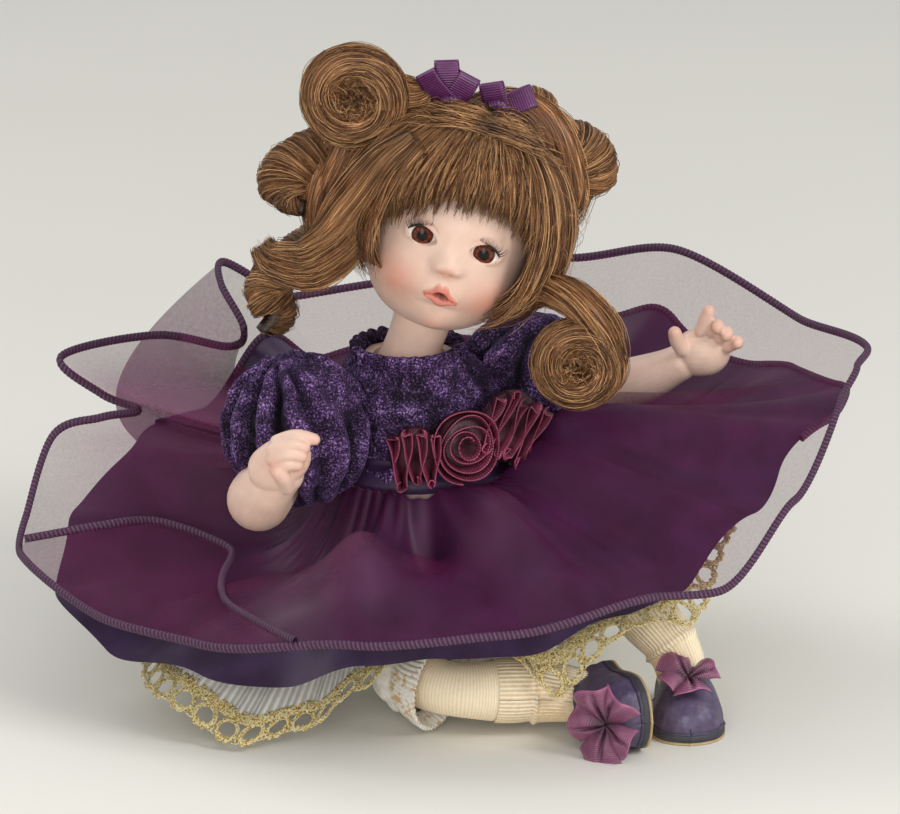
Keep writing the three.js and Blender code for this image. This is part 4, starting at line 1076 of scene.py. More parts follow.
SKIN_VOXEL = 0.28
SKIN_SMOOTHING = 3
FINGER_RADIUS = 1.45
THUMB_RADIUS = 1.6
ARMS = {
    "right": {
        "limb": [
            [-27, 3, 56, 3.6], [-36, -2.5, 50, 5.2], [-45, -8.7, 44.8, 6.4], [-46.6, -15, 48.5, 5.6],
            [-45, -19.2, 52.6, 4.2], [-43, -21.6, 56, 4.4],
        ],
        "fingers": [
            [[-48.1, -20.8, 60.0], [-44.1, -24.0, 62.1], [-39.7, -26.0, 61.0]],
            [[-49.4, -21.8, 58.7], [-45.5, -25.1, 60.8], [-42.0, -26.1, 59.6]],
            [[-49.6, -22.1, 57.0], [-46.0, -25.3, 58.9], [-42.6, -26.0, 57.8]],
            [[-48.9, -22.5, 55.1], [-45.9, -25.1, 56.8], [-43.2, -25.3, 56.0]],
            [[-44.8, -21.7, 50.1], [-47.0, -24.2, 53.9], [-49.5, -24.3, 56.2]],
        ],
        "palm": [[-50.0, -16.9, 51.1, 4.4], [-46.1, -20.7, 55.8, 4.9], [-41.0, -23.0, 59.4, 4.2]],
    },
    "left": {
        "limb": [
            [12, 3, 56, 4.4], [22, 4, 53.8, 5.2], [32, 3, 52, 5.8], [41, -3.5, 56, 5],
            [46.8, -8.4, 60, 3.8], [49.6, -10.8, 62.6, 4.2],
        ],
        "fingers": [
            [[49.6, -12.8, 66.9], [50.5, -14.3, 71.0], [51.1, -15.4, 73.8]],
            [[51.3, -14.0, 67.2], [52.1, -16.3, 69.8], [51.0, -18.0, 68.9]],
            [[52.7, -14.7, 66.0], [53.8, -17.1, 68.3], [52.5, -18.5, 67.3]],
            [[53.9, -15.0, 64.2], [55.8, -17.6, 66.2], [54.8, -18.7, 65.4]],
            [[47.3, -11.7, 63.1], [45.1, -12.2, 66.5], [44.1, -12.8, 69.5]],
        ],
        "palm": [[46.1, -8.5, 62.7, 4.4], [51.0, -11.8, 63.1, 5], [56.0, -14.4, 63.8, 4.4]],
    },
}


def skinned(shape):
    """One skin over overlapping closed forms."""
    rough = shape.piece("rough_form", BISQUE, "torso", "bisque")
    remesh = rough.modifiers.new("skin", "REMESH")
    remesh.mode = "VOXEL"
    remesh.voxel_size = SKIN_VOXEL * MM
    soften = rough.modifiers.new("soften", "SMOOTH")
    soften.factor = 0.5
    soften.iterations = SKIN_SMOOTHING
    bpy.context.view_layer.update()
    graph = bpy.context.evaluated_depsgraph_get()
    data = bpy.data.meshes.new_from_object(rough.evaluated_get(graph))
    points = np.empty(3 * len(data.vertices))
    data.vertices.foreach_get("co", points)
    corners = np.empty(len(data.loops), np.int32)
    data.loops.foreach_get("vertex_index", corners)
    bpy.data.objects.remove(rough)
    return points.reshape(-1, 3) / MM, corners.reshape(-1, 4)


def rounded(stations, count):
    """Stations of a tube with round ends."""
    line = curve(stations, count)
    size = line[:, 3].copy()
    run = lengths(line[:, :3])
    for gap in (run, run[-1] - run):
        size *= np.sqrt(np.clip(1 - (1 - np.clip(gap / line[:, 3], 0, 1)) ** 2, 0.02, 1))
    return line[None, :, :3], size[None]


def make_arm(side):
    form = ARMS[side]
    shape = Shape()
    shape.tubes(*rounded(form["limb"], 60), sides=24, capped=True)
    shape.tubes(*rounded(form["palm"], 40), sides=24, lie=np.array([0, 0, 1.0]), flat=0.74, capped=True)
    for i, finger in enumerate(form["fingers"]):
        wide = THUMB_RADIUS if i == 4 else FINGER_RADIUS
        girths = (wide, 0.96 * wide, 0.78 * wide)
        shape.tubes(*rounded([[*p, g] for p, g in zip(finger, girths)], 30), sides=16, capped=True)
    points, faces = skinned(shape)
    tips = np.array([finger[2] for finger in form["fingers"]], float)
    near = np.min(np.linalg.norm(points[:, None] - tips[None], axis=-1), axis=1)
    tint = mix(SKIN, BLUSH, (0.28 * mound(near, 2.4))[:, None])
    body = f"arm_{side}"
    Shape().add(points, faces, tint).piece(f"{body}_bisque", BISQUE, body, "bisque", body)


# Bodice, sleeves, sash and roses

TORSO_LEAN = 0.125
TORSO = np.array([
    [1.3, 13, 11], [6, 18.5, 15.5], [16, 20.5, 17], [30, 18.5, 15.5], [40, 15.4, 13.4],
    [46, 14.4, 12.6], [54, 16, 12.8], [59, 15.8, 12], [63, 13.4, 10.8], [67.5, 9.4, 9.2],
])
BODICE_FOOT = 42.6
BODICE_TOP = 69.2
SASH_HEIGHT = 7
SASH_STAND = 2.4
PLACKET_HALF = 9
VELVET_CLOTH = 0.5


def torso_size(z):
    return np.interp(z, TORSO[:, 0], TORSO[:, 1]), np.interp(z, TORSO[:, 0], TORSO[:, 2])


def round_torso(bearing, z, grow):
    rx, ry = torso_size(z)
    middle = -TORSO_LEAN * z
    return xyz(middle + (rx + grow) * np.cos(bearing), (ry + grow) * np.sin(bearing), z)


def crumple(points, size, seed):
    """Sharp-backed folds from 0 to 1, running unevenly through the cloth."""
    bent = points + 0.35 * size * np.stack([noise(points, 0.8 * size, seed + i) for i in (3, 4, 5)], -1)
    return (1 - np.abs(noise(bent, size, seed))) ** 2


def make_bodice():
    share, bearing = net(np.linspace(0, 1, 110), full_turn(260))
    rise = np.minimum(share / 0.93, 1)
    turn_in = np.clip((share - 0.93) / 0.07, 0, 1)
    z = mix(BODICE_FOOT, BODICE_TOP, rise) + 0.9 * np.sin(np.pi * turn_in) - 1.2 * turn_in
    base = round_torso(bearing, z, 1.7)
    folds = 1.1 * crumple(base, 6.5, 1) + 0.5 * crumple(base, 2.8, 2)
    ruffle = mound(rise - 1, 0.1) * (0.5 * np.cos(27 * bearing + 2 * noise(base, 4, 6)) + 0.4)
    grow = 1.0 + folds * (0.35 + 0.65 * ease((1 - rise) / 0.2)) + ruffle - 1.8 * turn_in
    points = round_torso(bearing, z + 0.5 * ruffle, grow)
    # Painted shade darkens the velvet in the hollows of its folds, and painted highlight lightens their
    # crests.
    tint = (0.12 + 0.95 * folds)[..., None] * np.ones(3)
    shape = Shape().surface(points, tint, round_columns=True)
    shape.piece("velvet_bodice", VELVET, "torso", "velvet", "bodice", thick=VELVET_CLOTH)


def make_placket():
    across = np.linspace(90 - PLACKET_HALF, 90 + PLACKET_HALF, 30)
    share, bearing = net(np.linspace(0, 1, 60), np.radians(across))
    z = mix(BODICE_FOOT + SASH_HEIGHT + 0.6, BODICE_TOP - 2, share)
    edge = ease(1 - np.abs(np.degrees(bearing) - 90) / PLACKET_HALF + 0.15)
    points = round_torso(bearing, z, 1.9 + 0.9 * edge + 0.2 * noise(round_torso(bearing, z, 0), 2.5, 9))
    shape = Shape().surface(points)
    shape.piece("velvet_placket", VELVET, "torso", "velvet", "back_placket", thick=0.4)


def make_sash():
    share, bearing = net(np.linspace(0, 1, 30), full_turn(200))
    z = mix(BODICE_FOOT, BODICE_FOOT + SASH_HEIGHT, share)
    uneven = 1.5 * noise(round_torso(bearing, z, 0), 7, 3)
    points = round_torso(bearing, z, SASH_STAND + 0.3 * np.sin(3 * np.pi * share + uneven))
    weave = xyz(14 * bearing, SASH_HEIGHT * share, 0)
    shape = Shape().surface(points, (0.7, 0.7, 1.2), weave, round_columns=True)
    shape.piece("satin_sash", SATIN, "torso", "satin", "sash", thick=0.3)


def make_sleeve(side, middle, radii, pole, folds, seed):
    """Puff gathered at the shoulder and at the arm, with deep hollows between its soft folds, painted dark
    as painted shade.
    """
    pole = unit(np.array(pole, float))
    e1 = unit(np.cross(pole, [0, 0.2, 1]))
    e2 = np.cross(pole, e1)
    fall, turn = net(np.linspace(0.02, np.pi - 0.02, 130), full_turn(260))
    round_way = np.cos(turn)[..., None] * e1 + np.sin(turn)[..., None] * e2
    place = (np.cos(fall)[..., None] * pole + np.sin(fall)[..., None] * round_way) * radii
    warp = 1.2 * noise(place, 11, seed) + 0.5 * noise(place, 5, seed + 1)
    hollow = np.abs(np.cos(0.5 * folds * turn + warp)) ** 2.4 * np.sin(fall) ** 0.4
    hollow = hollow * np.clip(0.75 + 0.6 * noise(place, 8, seed + 3), 0, 1.2)
    small = crumple(place, 6, seed + 2)
    size = 1.04 - 0.26 * hollow + 0.06 * (small - 0.45)
    size = size * (1 - 0.12 * mound(fall, 0.5) - 0.1 * mound(fall - np.pi, 0.5))
    points = np.array(middle) + place * size[..., None]
    # Painted shade darkens the hollows and small crumples, and painted highlight lightens the crests of the
    # folds.
    tint = (mix(1.3, 0.06, np.clip(1.25 * hollow, 0, 1)) + 0.4 * (small - 0.4))[..., None] * np.ones(3)
    shape = Shape().surface(points, np.clip(tint, 0.05, 2), round_columns=True)
    node = f"sleeve_{side}"
    shape.piece(f"velvet_{node}", VELVET, f"arm_{side}", "velvet", node, thick=VELVET_CLOTH)


ROSE_RADIUS = 6.8
ROSE_RIBBON = 4.0
ROSE_LEVEL = 56


def make_rose(name, bearing, facing, height, size, route, stand=0.0):
    """A satin ribbon set on edge along its route, leaning out, with a double line of painted highlight
    along its folded edge, painted shade towards its foot, and a darker bed below as painted shade between
    the loops.
    """
    way = spin("z", bearing)[:, 0]
    out = spin("z", facing)[:, 0]
    level = spin("z", facing)[:, 1]
    rx, ry = torso_size(ROSE_LEVEL)
    reach = math.hypot((rx + SASH_STAND) * way[0], (ry + SASH_STAND) * way[1])
    seat = np.array([-TORSO_LEAN * height, 0, height]) + (reach + stand) * way
    u, v, lean_u, lean_v = route(size)
    run = lengths(xyz(u, v))
    t = np.linspace(0, 1, 14)[None, :]
    lean = 1.1 * t ** 1.5 + 0.25 * np.sin(0.6 * run)[:, None] * t
    tall = ROSE_RIBBON * (t - 0.12 * t * t) + 0.35 * np.sin(0.45 * run + 1)[:, None] * t
    flat_u, flat_v = u[:, None] + lean * lean_u[:, None], v[:, None] + lean * lean_v[:, None]

    def set_out(along, up, high):
        return seat + along[..., None] * level + up[..., None] * np.array([0, 0, 1]) + high[..., None] * out

    points = set_out(flat_u, flat_v, tall)
    # Painted highlight runs as a double line along the ribbon's folded edge, and painted shade darkens the
    # ribbon towards its foot.
    edge = np.maximum(mound(t - 0.98, 0.05), 0.7 * mound(t - 0.8, 0.045))
    tint = mix(np.array([0.8, 0.8, 0.8]), np.array([2.0, 1.75, 1.8]), edge[..., None])
    tint = np.broadcast_to(tint, points.shape) * mix(0.25, 1.0, ease(t * 1.15))[..., None]
    shape = Shape().surface(points, tint, xyz(run[:, None], ROSE_RIBBON * t, 0))
    # A darker bed under the loops stands as painted shade between them.
    share, turn = net(np.linspace(0.02, 1, 14), full_turn(60))
    bed_u, bed_v = share * (np.ptp(u) / 2) * np.cos(turn), share * (np.ptp(v) / 2) * np.sin(turn)
    shade_bed = set_out(bed_u, bed_v, 2.2 * (1 - share ** 4))
    shape.surface(shade_bed, (0.4, 0.4, 0.4), xyz(6 * turn, 6 * share, 0), round_columns=True)
    shape.piece(f"ribbon_{name}", ROSE_SATIN, "torso", "rose_satin", name, thick=0.25)


def spiral_route(size):
    a = np.linspace(0, 2 * np.pi * 4.6, 620)
    radius = 0.5 + (size - 1.1) * (a / a[-1]) ** 0.95 + 0.3 * np.sin(1.7 * a)
    c, s = np.cos(a + 0.8), np.sin(a + 0.8)
    return 0.95 * radius * c, 1.02 * radius * s, c, s


def folded_route(loops, slant, narrow):
    """Ribbon laid to and fro in tall loops, closer together where the rose is narrow."""
    def route(size):
        t = np.linspace(0, 1, 640)
        u = narrow * (size - 1.0) * (2 * t - 1)
        fit = np.sqrt(np.clip(1 - (u / narrow / size) ** 2, 0.18, 1))
        loop = np.clip(1.35 * np.sin(2 * np.pi * loops * t), -1, 1)
        v = (size - 0.8) * fit * loop * (0.86 + 0.14 * np.sin(9 * t))
        u = u + 0.45 * np.sin(4 * np.pi * loops * t)
        c, s = math.cos(slant), math.sin(slant)
        du, dv = unit(xyz(np.gradient(u), np.gradient(v))).T
        return c * u - s * v, s * u + c * v, c * dv + s * du, s * dv - c * du
    return route


# Skirts

WAIST = 43.4
LAYER_DROP = 2.8
LACE_SHARE = 0.13
STITCH = 0.9
LACE_MOTIF = 5.6
# Threads of the lace's gimp band: phase, half width, middle across the lace, waves in a motif
GIMP_THREADS = [(0, 0.16, 0.16, 3), (0.4, 0.16, 0.16, 3), (0.7, 0.13, 0.2, 4), (0.2, 0.1, 0.12, 5)]
GIMP_RADIUS = 0.26
EYELET_RADIUS = 0.27
PICOT_RADIUS = 0.2
# Where the lace hangs lower: bearing, spread, drop
LACE_HANGS = [(-90, 7, 7), (-62, 6, 5)]
FRONT_LACE = -88
FRONT_LACE_HALF = 26
# Where the knees lift the overskirt, with the hollow between them, and where a paler colour is painted on
# it over the knees as painted highlight:
# bearing, share of the way to the hem, spread of each, rise
LIFTS = [(-115, 0.2, 8, 0.14, -9), (-141, 0.48, 17, 0.2, 8.5), (-93, 0.26, 12, 0.2, 4.5)]
KNEE_HIGHLIGHTS = [(-141, 0.5, 16, 0.24, 1), (-93, 0.3, 10, 0.2, 0.45)]
WAIST_FOOT = WAIST - 2 * LAYER_DROP - 0.7
WAIST_SIZE = [size + 2.5 for size in torso_size(WAIST_FOOT)]
# Bearing around the body, reach of the hem, height of the hem, sag between waist and hem
OVERSKIRT = [
    [-155, 76, 27, 11], [-130, 72, 29, 3], [-106, 71, 31, 2], [-81, 70, 34, -1], [-69, 75, 33, -4],
    [-50, 76, 44, -10], [-31, 79, 57, -12.5], [-24, 82, 61, -10], [-18, 85, 64, 0], [1, 79, 66, 17],
    [24, 71, 74, 14], [46, 70, 67, 7], [70, 71, 60, 3], [90, 75, 57, 2], [101, 77, 66, 2],
    [116, 79, 48, 6], [134, 83, 56, 11], [151, 81, 43, 14], [167, 87, 33, 14], [-174, 81, 28, 14],
]
# Bearing, reach of the hem, droop of the hem below the overskirt
UNDERSKIRT = [
    [-160, 69, 9], [-144, 64, 10], [-124, 60, 8], [-97, 61, 7], [-64, 63, 3], [-42, 69, 2],
    [-24, 80, 2.5], [-8, 73, 2.5], [18, 63, 2.5], [42, 57, 3], [90, 62, 4], [136, 66, 3], [155, 76, 6],
    [168, 80, 7], [-178, 76, 8],
]
# Bearing, reach of the hem, height of the hem
PETTICOAT = [
    [-168, 72, 8], [-154, 68, 1.2], [-145, 56, 3], [-137, 49, 10], [-122, 46, 22], [-102, 50, 20],
    [-90, 53, 17], [-72, 59, 24], [-63, 63, 28], [-42, 60, 34], [0, 52, 34], [45, 50, 36],
    [90, 52, 34], [135, 56, 20], [170, 64, 10],
]


def round_table(rows, bearing, column):
    """Value of one column of a table of bearings, eased from row to row around the body."""
    table = sorted((row[0] % 360, row[column]) for row in rows)
    table = [(table[-1][0] - 360, table[-1][1]), *table, (table[0][0] + 360, table[0][1])]
    places, values = np.array(table).T
    bearing = np.asarray(bearing) % 360
    here = np.clip(np.searchsorted(places, bearing, side="right") - 1, 0, len(places) - 2)
    share = (bearing - places[here]) / (places[here + 1] - places[here])
    return mix(values[here], values[here + 1], ease(share))


def apart(bearing, other):
    return (bearing - other + 180) % 360 - 180


def waist_point(bearing):
    angle = np.radians(bearing)
    middle = -TORSO_LEAN * (WAIST + WAIST_FOOT) / 2
    return np.stack([middle + WAIST_SIZE[0] * np.cos(angle), WAIST_SIZE[1] * np.sin(angle)], -1)


def hem_point(rows, bearing):
    angle = np.radians(bearing)
    return round_table(rows, bearing, 1)[..., None] * xyz(np.cos(angle), np.sin(angle))


def hem_length(rows, bearing):
    return np.linalg.norm(hem_point(rows, bearing) - waist_point(bearing), axis=-1)


def soft_folds(bearing, share):
    """Gathers at the waist, slow folds that run out to the hem, and the knees below."""
    angle = np.radians(bearing)
    gathers = 0.55 * np.cos(38 * angle + 2 * np.sin(5 * angle)) * mound(share - 0.1, 0.14)
    slow = 0.9 * np.cos(9 * angle + 0.6) + 0.7 * np.cos(14 * angle + 2.1) + 0.45 * np.cos(23 * angle + 4.0)
    slow = slow * np.sin(np.pi * np.clip(share, 0, 1)) ** 0.8 * 1.25
    return gathers + slow + mounds(LIFTS, bearing, share, apart)


def over_height(bearing, distance):
    share = distance / hem_length(OVERSKIRT, bearing)
    straight = mix(WAIST, round_table(OVERSKIRT, bearing, 2), share)
    sag = round_table(OVERSKIRT, bearing, 3) * (share / 0.25) * np.exp(1 - share / 0.25)
    return straight - sag + soft_folds(bearing, share)


def under_height(bearing, distance):
    share = distance / hem_length(UNDERSKIRT, bearing)
    apart_here = ease(share / 0.3)
    droop = round_table(UNDERSKIRT, bearing, 2) * share * np.abs(share)
    drop = LAYER_DROP * mix(0.15, 0.8, apart_here) + droop
    return over_height(bearing, distance + LAYER_DROP / 2 * apart_here) - drop


def petticoat_height(bearing, distance):
    share = distance / hem_length(PETTICOAT, bearing)
    under = under_height(bearing, distance) - LAYER_DROP * (1 + share)
    own = mix(WAIST - 2 * LAYER_DROP, round_table(PETTICOAT, bearing, 2), share)
    return np.maximum(0.6, np.minimum(under, own))


def skirt(rows, height, bearing, share):
    flat = mix(waist_point(bearing), hem_point(rows, bearing), np.asarray(share)[..., None])
    return np.concatenate([flat, height(bearing, share * hem_length(rows, bearing))[..., None]], -1)


def serged(shape, line, thick=0.86):
    """Overlocked edge: a thread cord with slanting stitches, their heads painted paler as painted
    highlight.
    """
    run = lengths(line)
    places = np.linspace(0, run[-1], int(run[-1] / 0.24))
    even = xyz(*(np.interp(places, run, line[:, i]) for i in range(3)))
    across, other = frames(even[None], np.array([0, 0, 1.0]))
    angle = full_turn(12)
    stitch = 0.5 + 0.5 * np.cos(2 * np.pi * places[:, None] / STITCH + 1.8 * np.cos(angle))
    size = thick * (0.92 + 0.14 * stitch)
    ring = across[0][:, None] * np.cos(angle)[:, None] + 0.8 * other[0][:, None] * np.sin(angle)[:, None]
    points = even[:, None] + size[..., None] * ring
    # The stitch heads are painted paler as painted highlight.
    tint = mix(linear(54, 26, 50), linear(112, 72, 104), (stitch ** 3)[..., None])
    shape.surface(points, tint, round_columns=True)


# The organza doubles back on itself behind the right arm between these bearings.
# Each row: a point the cloth passes half way to its hem, then its hem
FOLDS_START = 92
FOLDS_END = 160
FOLDS = [
    [-39, 62, 42, -15, 75, 66], [-44, 54, 38, -19, 68, 64], [-35, 41, 38, -18, 59, 57],
    [-21, 43, 41, -18, 66, 51], [-27, 41, 46, -35, 65, 56], [-44, 38, 50, -58, 60, 56],
    [-41, 34, 47, -53, 51, 50], [-35, 29, 44, -48, 44, 48], [-45, 28, 45, -58, 40, 49],
    [-53, 27, 44, -69, 39, 47],
]
# The hem at the doll's front right is turned up over the skirt:
# bearing on the hem, then bearing, reach and height of the turned edge
TURNED_HEM = [
    [167, 167, 86, 33.2], [170, 167, 70, 35], [176, 165, 60, 34.5], [-178, 170, 53, 33.5],
    [-172, 178, 48, 32], [-166, -177, 48.6, 31], [-160, -168, 56, 30], [-153, -160, 62, 29],
    [-146, -149, 67, 28.6], [-139, -139, 73.2, 28.4],
]


def fold_points(columns=220, rows=60):
    """The folded part of the overskirt, between the plain skirt on its two sides."""
    share = np.linspace(0, 1, rows)
    turns = np.linspace(FOLDS_START, FOLDS_END, len(FOLDS) + 2)
    lines = [skirt(OVERSKIRT, over_height, np.full(rows, FOLDS_START), share)]
    for bearing, row in zip(turns[1:-1], FOLDS):
        waist = np.array([*waist_point(bearing), WAIST])
        half, hem = np.array(row[:3]), np.array(row[3:])
        pull = 2 * half - (waist + hem) / 2
        t = share[:, None]
        lines.append((1 - t) ** 2 * waist + 2 * t * (1 - t) * pull + t * t * hem)
    lines.append(skirt(OVERSKIRT, over_height, np.full(rows, FOLDS_END), share))
    return curve([line.ravel() for line in lines], columns).reshape(columns, rows, 3).transpose(1, 0, 2)


def turned_hem_points(columns=160, rows=24):
    table = np.array(TURNED_HEM, float)
    table[:, :2] %= 360
    hem_bearing, bearing, reach, height = curve(table, columns).T
    hem = skirt(OVERSKIRT, over_height, hem_bearing, np.ones(columns))
    angle = np.radians(bearing)
    edge = xyz(reach * np.cos(angle), reach * np.sin(angle), height)
    t = np.linspace(0, 1, rows)[:, None, None]
    points = mix(hem[None], edge[None], t)
    middle = np.sin(np.linspace(0, np.pi, columns))
    points[..., 2] += 2.5 * np.sin(np.pi * t[..., 0]) * middle[None]
    around = np.degrees(np.arctan2(points[..., 1], points[..., 0]))
    distance = np.linalg.norm(points[..., :2] - waist_point(around), axis=-1)
    points[..., 2] = np.maximum(points[..., 2], over_height(around, distance) + 0.7 * middle ** 0.3)
    return points


def make_overskirt():
    share, bearing = net(np.linspace(0, 1, 90), np.linspace(FOLDS_END, FOLDS_START + 360, 421))
    plain = skirt(OVERSKIRT, over_height, bearing, share)
    folded = fold_points()
    # Painted highlight over the knees is carried in the second cloth coordinate, together with the paler
    # bunched layers of the folded cloth.
    knee_highlight = mounds(KNEE_HIGHLIGHTS, bearing, share, apart)
    bunched = 0.2 + 0.6 * ease((1 - np.linspace(0, 1, folded.shape[0])) / 0.4)
    bunched = bunched[:, None] * np.sin(np.linspace(0, np.pi, folded.shape[1])) ** 0.6
    cloth = Shape().surface(plain, weave=xyz(0, 0.6 * knee_highlight, 0))
    cloth.surface(folded, weave=xyz(bunched, 0.4 * bunched, 0))
    made = cloth.piece("organza_overskirt", ORGANZA, "torso", "organza", "overskirt")
    hem = Shape()
    serged(hem, np.concatenate([plain[-1], folded[-1]]))
    turned = turned_hem_points()
    flounce = Shape().surface(turned).piece("organza_flounce", ORGANZA, "torso", "organza")
    serged(hem, turned[-1])
    trim = hem.piece("serged_hem", THREAD, "torso", "organza")


def make_underskirt():
    share, bearing = net(np.linspace(0, 1, 70), np.linspace(-180, 180, 421))
    points = skirt(UNDERSKIRT, under_height, bearing, share)
    made = Shape().surface(points).piece("satin_underskirt", SATIN, "torso", "satin", "underskirt")
    side = np.linspace(-36, 128, 300)
    hem = Shape()
    serged(hem, skirt(UNDERSKIRT, under_height, side, np.ones_like(side)), 0.8)
    trim = hem.piece("serged_satin_hem", THREAD, "torso", "satin")


def make_petticoat():
    share, bearing = net(np.linspace(0, 1 - LACE_SHARE, 40), np.linspace(-180, 180, 721))
    points = skirt(PETTICOAT, petticoat_height, bearing, share)
    points[..., 2] = np.maximum(0.3, points[..., 2] + 0.45 * share * np.cos(np.radians(90 * bearing)))
    cloth = Shape().surface(points, weave=xyz(0, bearing * 0.9, share))
    made = cloth.piece("tulle_petticoat", TULLE, "torso", "tulle", "petticoat")
    make_lace()


def make_lace():
    """Gold lace: a dense gimp band, a row of round eyelets, and picots along the edge."""
    line_bearing = np.linspace(-180, 180, 1441)

    def at(bearing, share):
        point = skirt(PETTICOAT, petticoat_height, bearing, share)
        hang = sum(drop * mound(apart(bearing, middle), wide) for middle, wide, drop in LACE_HANGS)
        fall = ease((share - 1 + 1.6 * LACE_SHARE) / LACE_SHARE / 1.6)
        point[..., 2] = np.maximum(0.5, point[..., 2] - hang * fall)
        return point

    rim = at(line_bearing, np.full(line_bearing.shape, 0.95))
    run = lengths(rim)
    motifs = int(round(run[-1] / LACE_MOTIF))

    def laid(along, across):
        """Along counts motifs, and across goes from the tulle's edge, 0, to the picots, 1."""
        bearing = np.interp((along / motifs * run[-1]) % run[-1], run, line_bearing)
        return at(bearing, mix(1 - LACE_SHARE - 0.015, 1.0, across))

    def worked(name, whole):
        shape = Shape()
        t = np.linspace(0, 1, 26)[None]
        for phase, wide, middle, waves in GIMP_THREADS:
            jitter = chance.uniform(-0.06, 0.06, whole.shape)
            ripple = wide * np.sin(2 * np.pi * (waves * t + phase)) + jitter * np.sin(np.pi * t)
            shape.tubes(laid(whole + t, middle + ripple), GIMP_RADIUS, 5)
        for size, turn in ((1.0, 0.0), (1.12, 0.5), (0.9, 1.0)):
            a = 2 * np.pi * t + turn
            jitter = chance.uniform(0.94, 1.06, whole.shape)
            eyelet = laid(whole + 0.5 + 0.4 * size * jitter * np.cos(a), 0.6 + 0.27 * size * np.sin(a))
            shape.tubes(eyelet, EYELET_RADIUS, 5)
        for spot in (0.08, 0.36, 0.64, 0.92):
            a = 2 * np.pi * t[:, ::2]
            lift = 0.86 - 0.12 * (2 * spot - 1) ** 2
            shape.tubes(laid(whole + spot + 0.1 * np.cos(a), lift + 0.09 * np.sin(a)), PICOT_RADIUS, 5)
        return shape.piece(name, GOLD, "torso", "gold_lace", "lace_trim")

    whole = np.arange(motifs)
    bearing = np.interp((whole + 0.5) / motifs * run[-1], run, line_bearing)
    front = np.abs(apart(bearing, FRONT_LACE)) < FRONT_LACE_HALF
    hanging = worked("gold_lace_front", whole[front][:, None])
    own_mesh(hanging)
    return [worked("gold_lace", whole[~front][:, None]), hanging]


# Below the dress

HIPS = {"right": [-12.125, -15, 13], "left": [8.875, -15, 13]}
LEGS = {
    "right": {
        "limb": [
            [-18.4, -25.6, 11.2, 6.6], [-19.8, -33, 10.2, 5.6], [-15.4, -39, 9.6, 5.4],
            [-6.5, -41.6, 9, 6.2], [0.6, -43.6, 8.6, 5.6],
        ],
        "shoe": [15, -49.5, 7.6],
        "toe": [-math.sin(math.radians(5)), -math.cos(math.radians(5)), 0],
        "up": [-math.cos(math.radians(5)), math.sin(math.radians(5)), 0],
        "bow_tilt": 40,
        "petals": [7.6, 7, 7.8, 6.8, 7.4],
    },
    "left": {
        "limb": [
            [14.4, -23.6, 20, 6.6], [18.6, -30, 25.6, 5.6], [22, -35.6, 25, 5.4],
            [25.4, -40.6, 19.4, 5.8], [29, -45.4, 13, 4.6],
        ],
        "shoe": [30.2, -47, 0],
        "toe": [-math.sin(math.radians(22)), -math.cos(math.radians(22)), 0],
        "up": [0, 0, 1],
        "bow_tilt": 16,
        "petals": [5.8, 6.4, 5.6, 6.2],
    },
}
# Places along the leg, counted in its stations from the hip, 0, to the heel, 7
PANTALOON_TOP = 0.5
CUFF_END = 3.42
SOCK_TOP = 4.7
SOCK_WELT = 5.78
HEEL = 7
# Place along the leg, and how far the pantaloon stands off it
PUFF = np.array([[PANTALOON_TOP, 1.6], [2, 2.8], [2.6, 2.6], [2.8, 1.5], [CUFF_END, 3.4]])
SOLE_THICKNESS = 2.2
TOE_LENGTH = 11.6
TOE_HEIGHT = 8.4


def shoe_place(side, points):
    toe, up = np.array(LEGS[side]["toe"]), np.array(LEGS[side]["up"])
    axes = np.stack([np.cross(-toe, up), -toe, up])
    return np.array(LEGS[side]["shoe"]) + np.asarray(points, float) @ axes


def leg_stations(side):
    limb = LEGS[side]["limb"]
    hip = np.array(HIPS[side], float)
    thigh = np.array(limb[0][:3])
    heel = shoe_place(side, [0, 0, 6])
    return [[*hip, 6.6], [*(hip + thigh) / 2, 5.4], *limb, [*heel, 4.2]]


def leg_span(side, start, end, count):
    """Stations along the leg; whole numbers are the named stations, from the hip to the heel."""
    stations = leg_stations(side)
    line = curve(stations, 400)
    places = np.linspace(0, len(stations) - 1, 400)
    t = np.linspace(start, end, count)
    return np.stack([np.interp(t, places, line[:, i]) for i in range(4)], -1), t


def make_leg(side):
    body = f"leg_{side}"
    shape = Shape().tubes(*rounded(leg_stations(side), 160), sides=48, capped=True)
    shape.piece(f"{body}_tights", TIGHTS, body, "knit", body)


def make_sock(side):
    line, t = leg_span(side, SOCK_TOP, HEEL, 200)
    welt = mound(t - SOCK_WELT, 0.08)
    size = line[:, 3] + 0.3 + 0.6 * welt + 0.25 * ease((t - SOCK_WELT + 0.18) / 0.2)
    ribbed = ease((t - SOCK_WELT - 0.02) / 0.08)

    def knit_ribs(angle):
        return 0.035 * ribbed[None, :, None] * np.cos(SOCK_RIBS * angle)[None, None]

    shape = Shape().tubes(line[None, :, :3], size[None], 220, ribs=knit_ribs)
    shape.piece(f"sock_{side}", KNIT, f"leg_{side}", "knit", f"stocking_{side}")


def make_pantaloon(side):
    line, t = leg_span(side, PANTALOON_TOP, CUFF_END, 140)
    puff = np.interp(t, *PUFF.T)
    share = ease((t - 2.7) / 0.3)

    def cotton_folds(angle):
        loose = 0.035 * (1 - share)[None, :, None] * np.cos(14 * angle)[None, None]
        return loose + 0.04 * share[None, :, None] * np.cos(48 * angle)[None, None]

    sides = 192
    shape = Shape().tubes(line[None, :, :3], (line[:, 3] + puff)[None], sides, ribs=cotton_folds)
    fleck = (noise(shape.points[0], 0.9, 4) > 0.35) * np.repeat(share, sides)
    shape.tints[0] = mix(linear(240, 234, 222), linear(206, 158, 70), (0.8 * fleck)[:, None])
    body, node = f"leg_{side}", f"pantaloon_leg_{side}"
    shape.piece(f"pantaloon_{side}", COTTON, body, "cotton", node, thick=0.4)


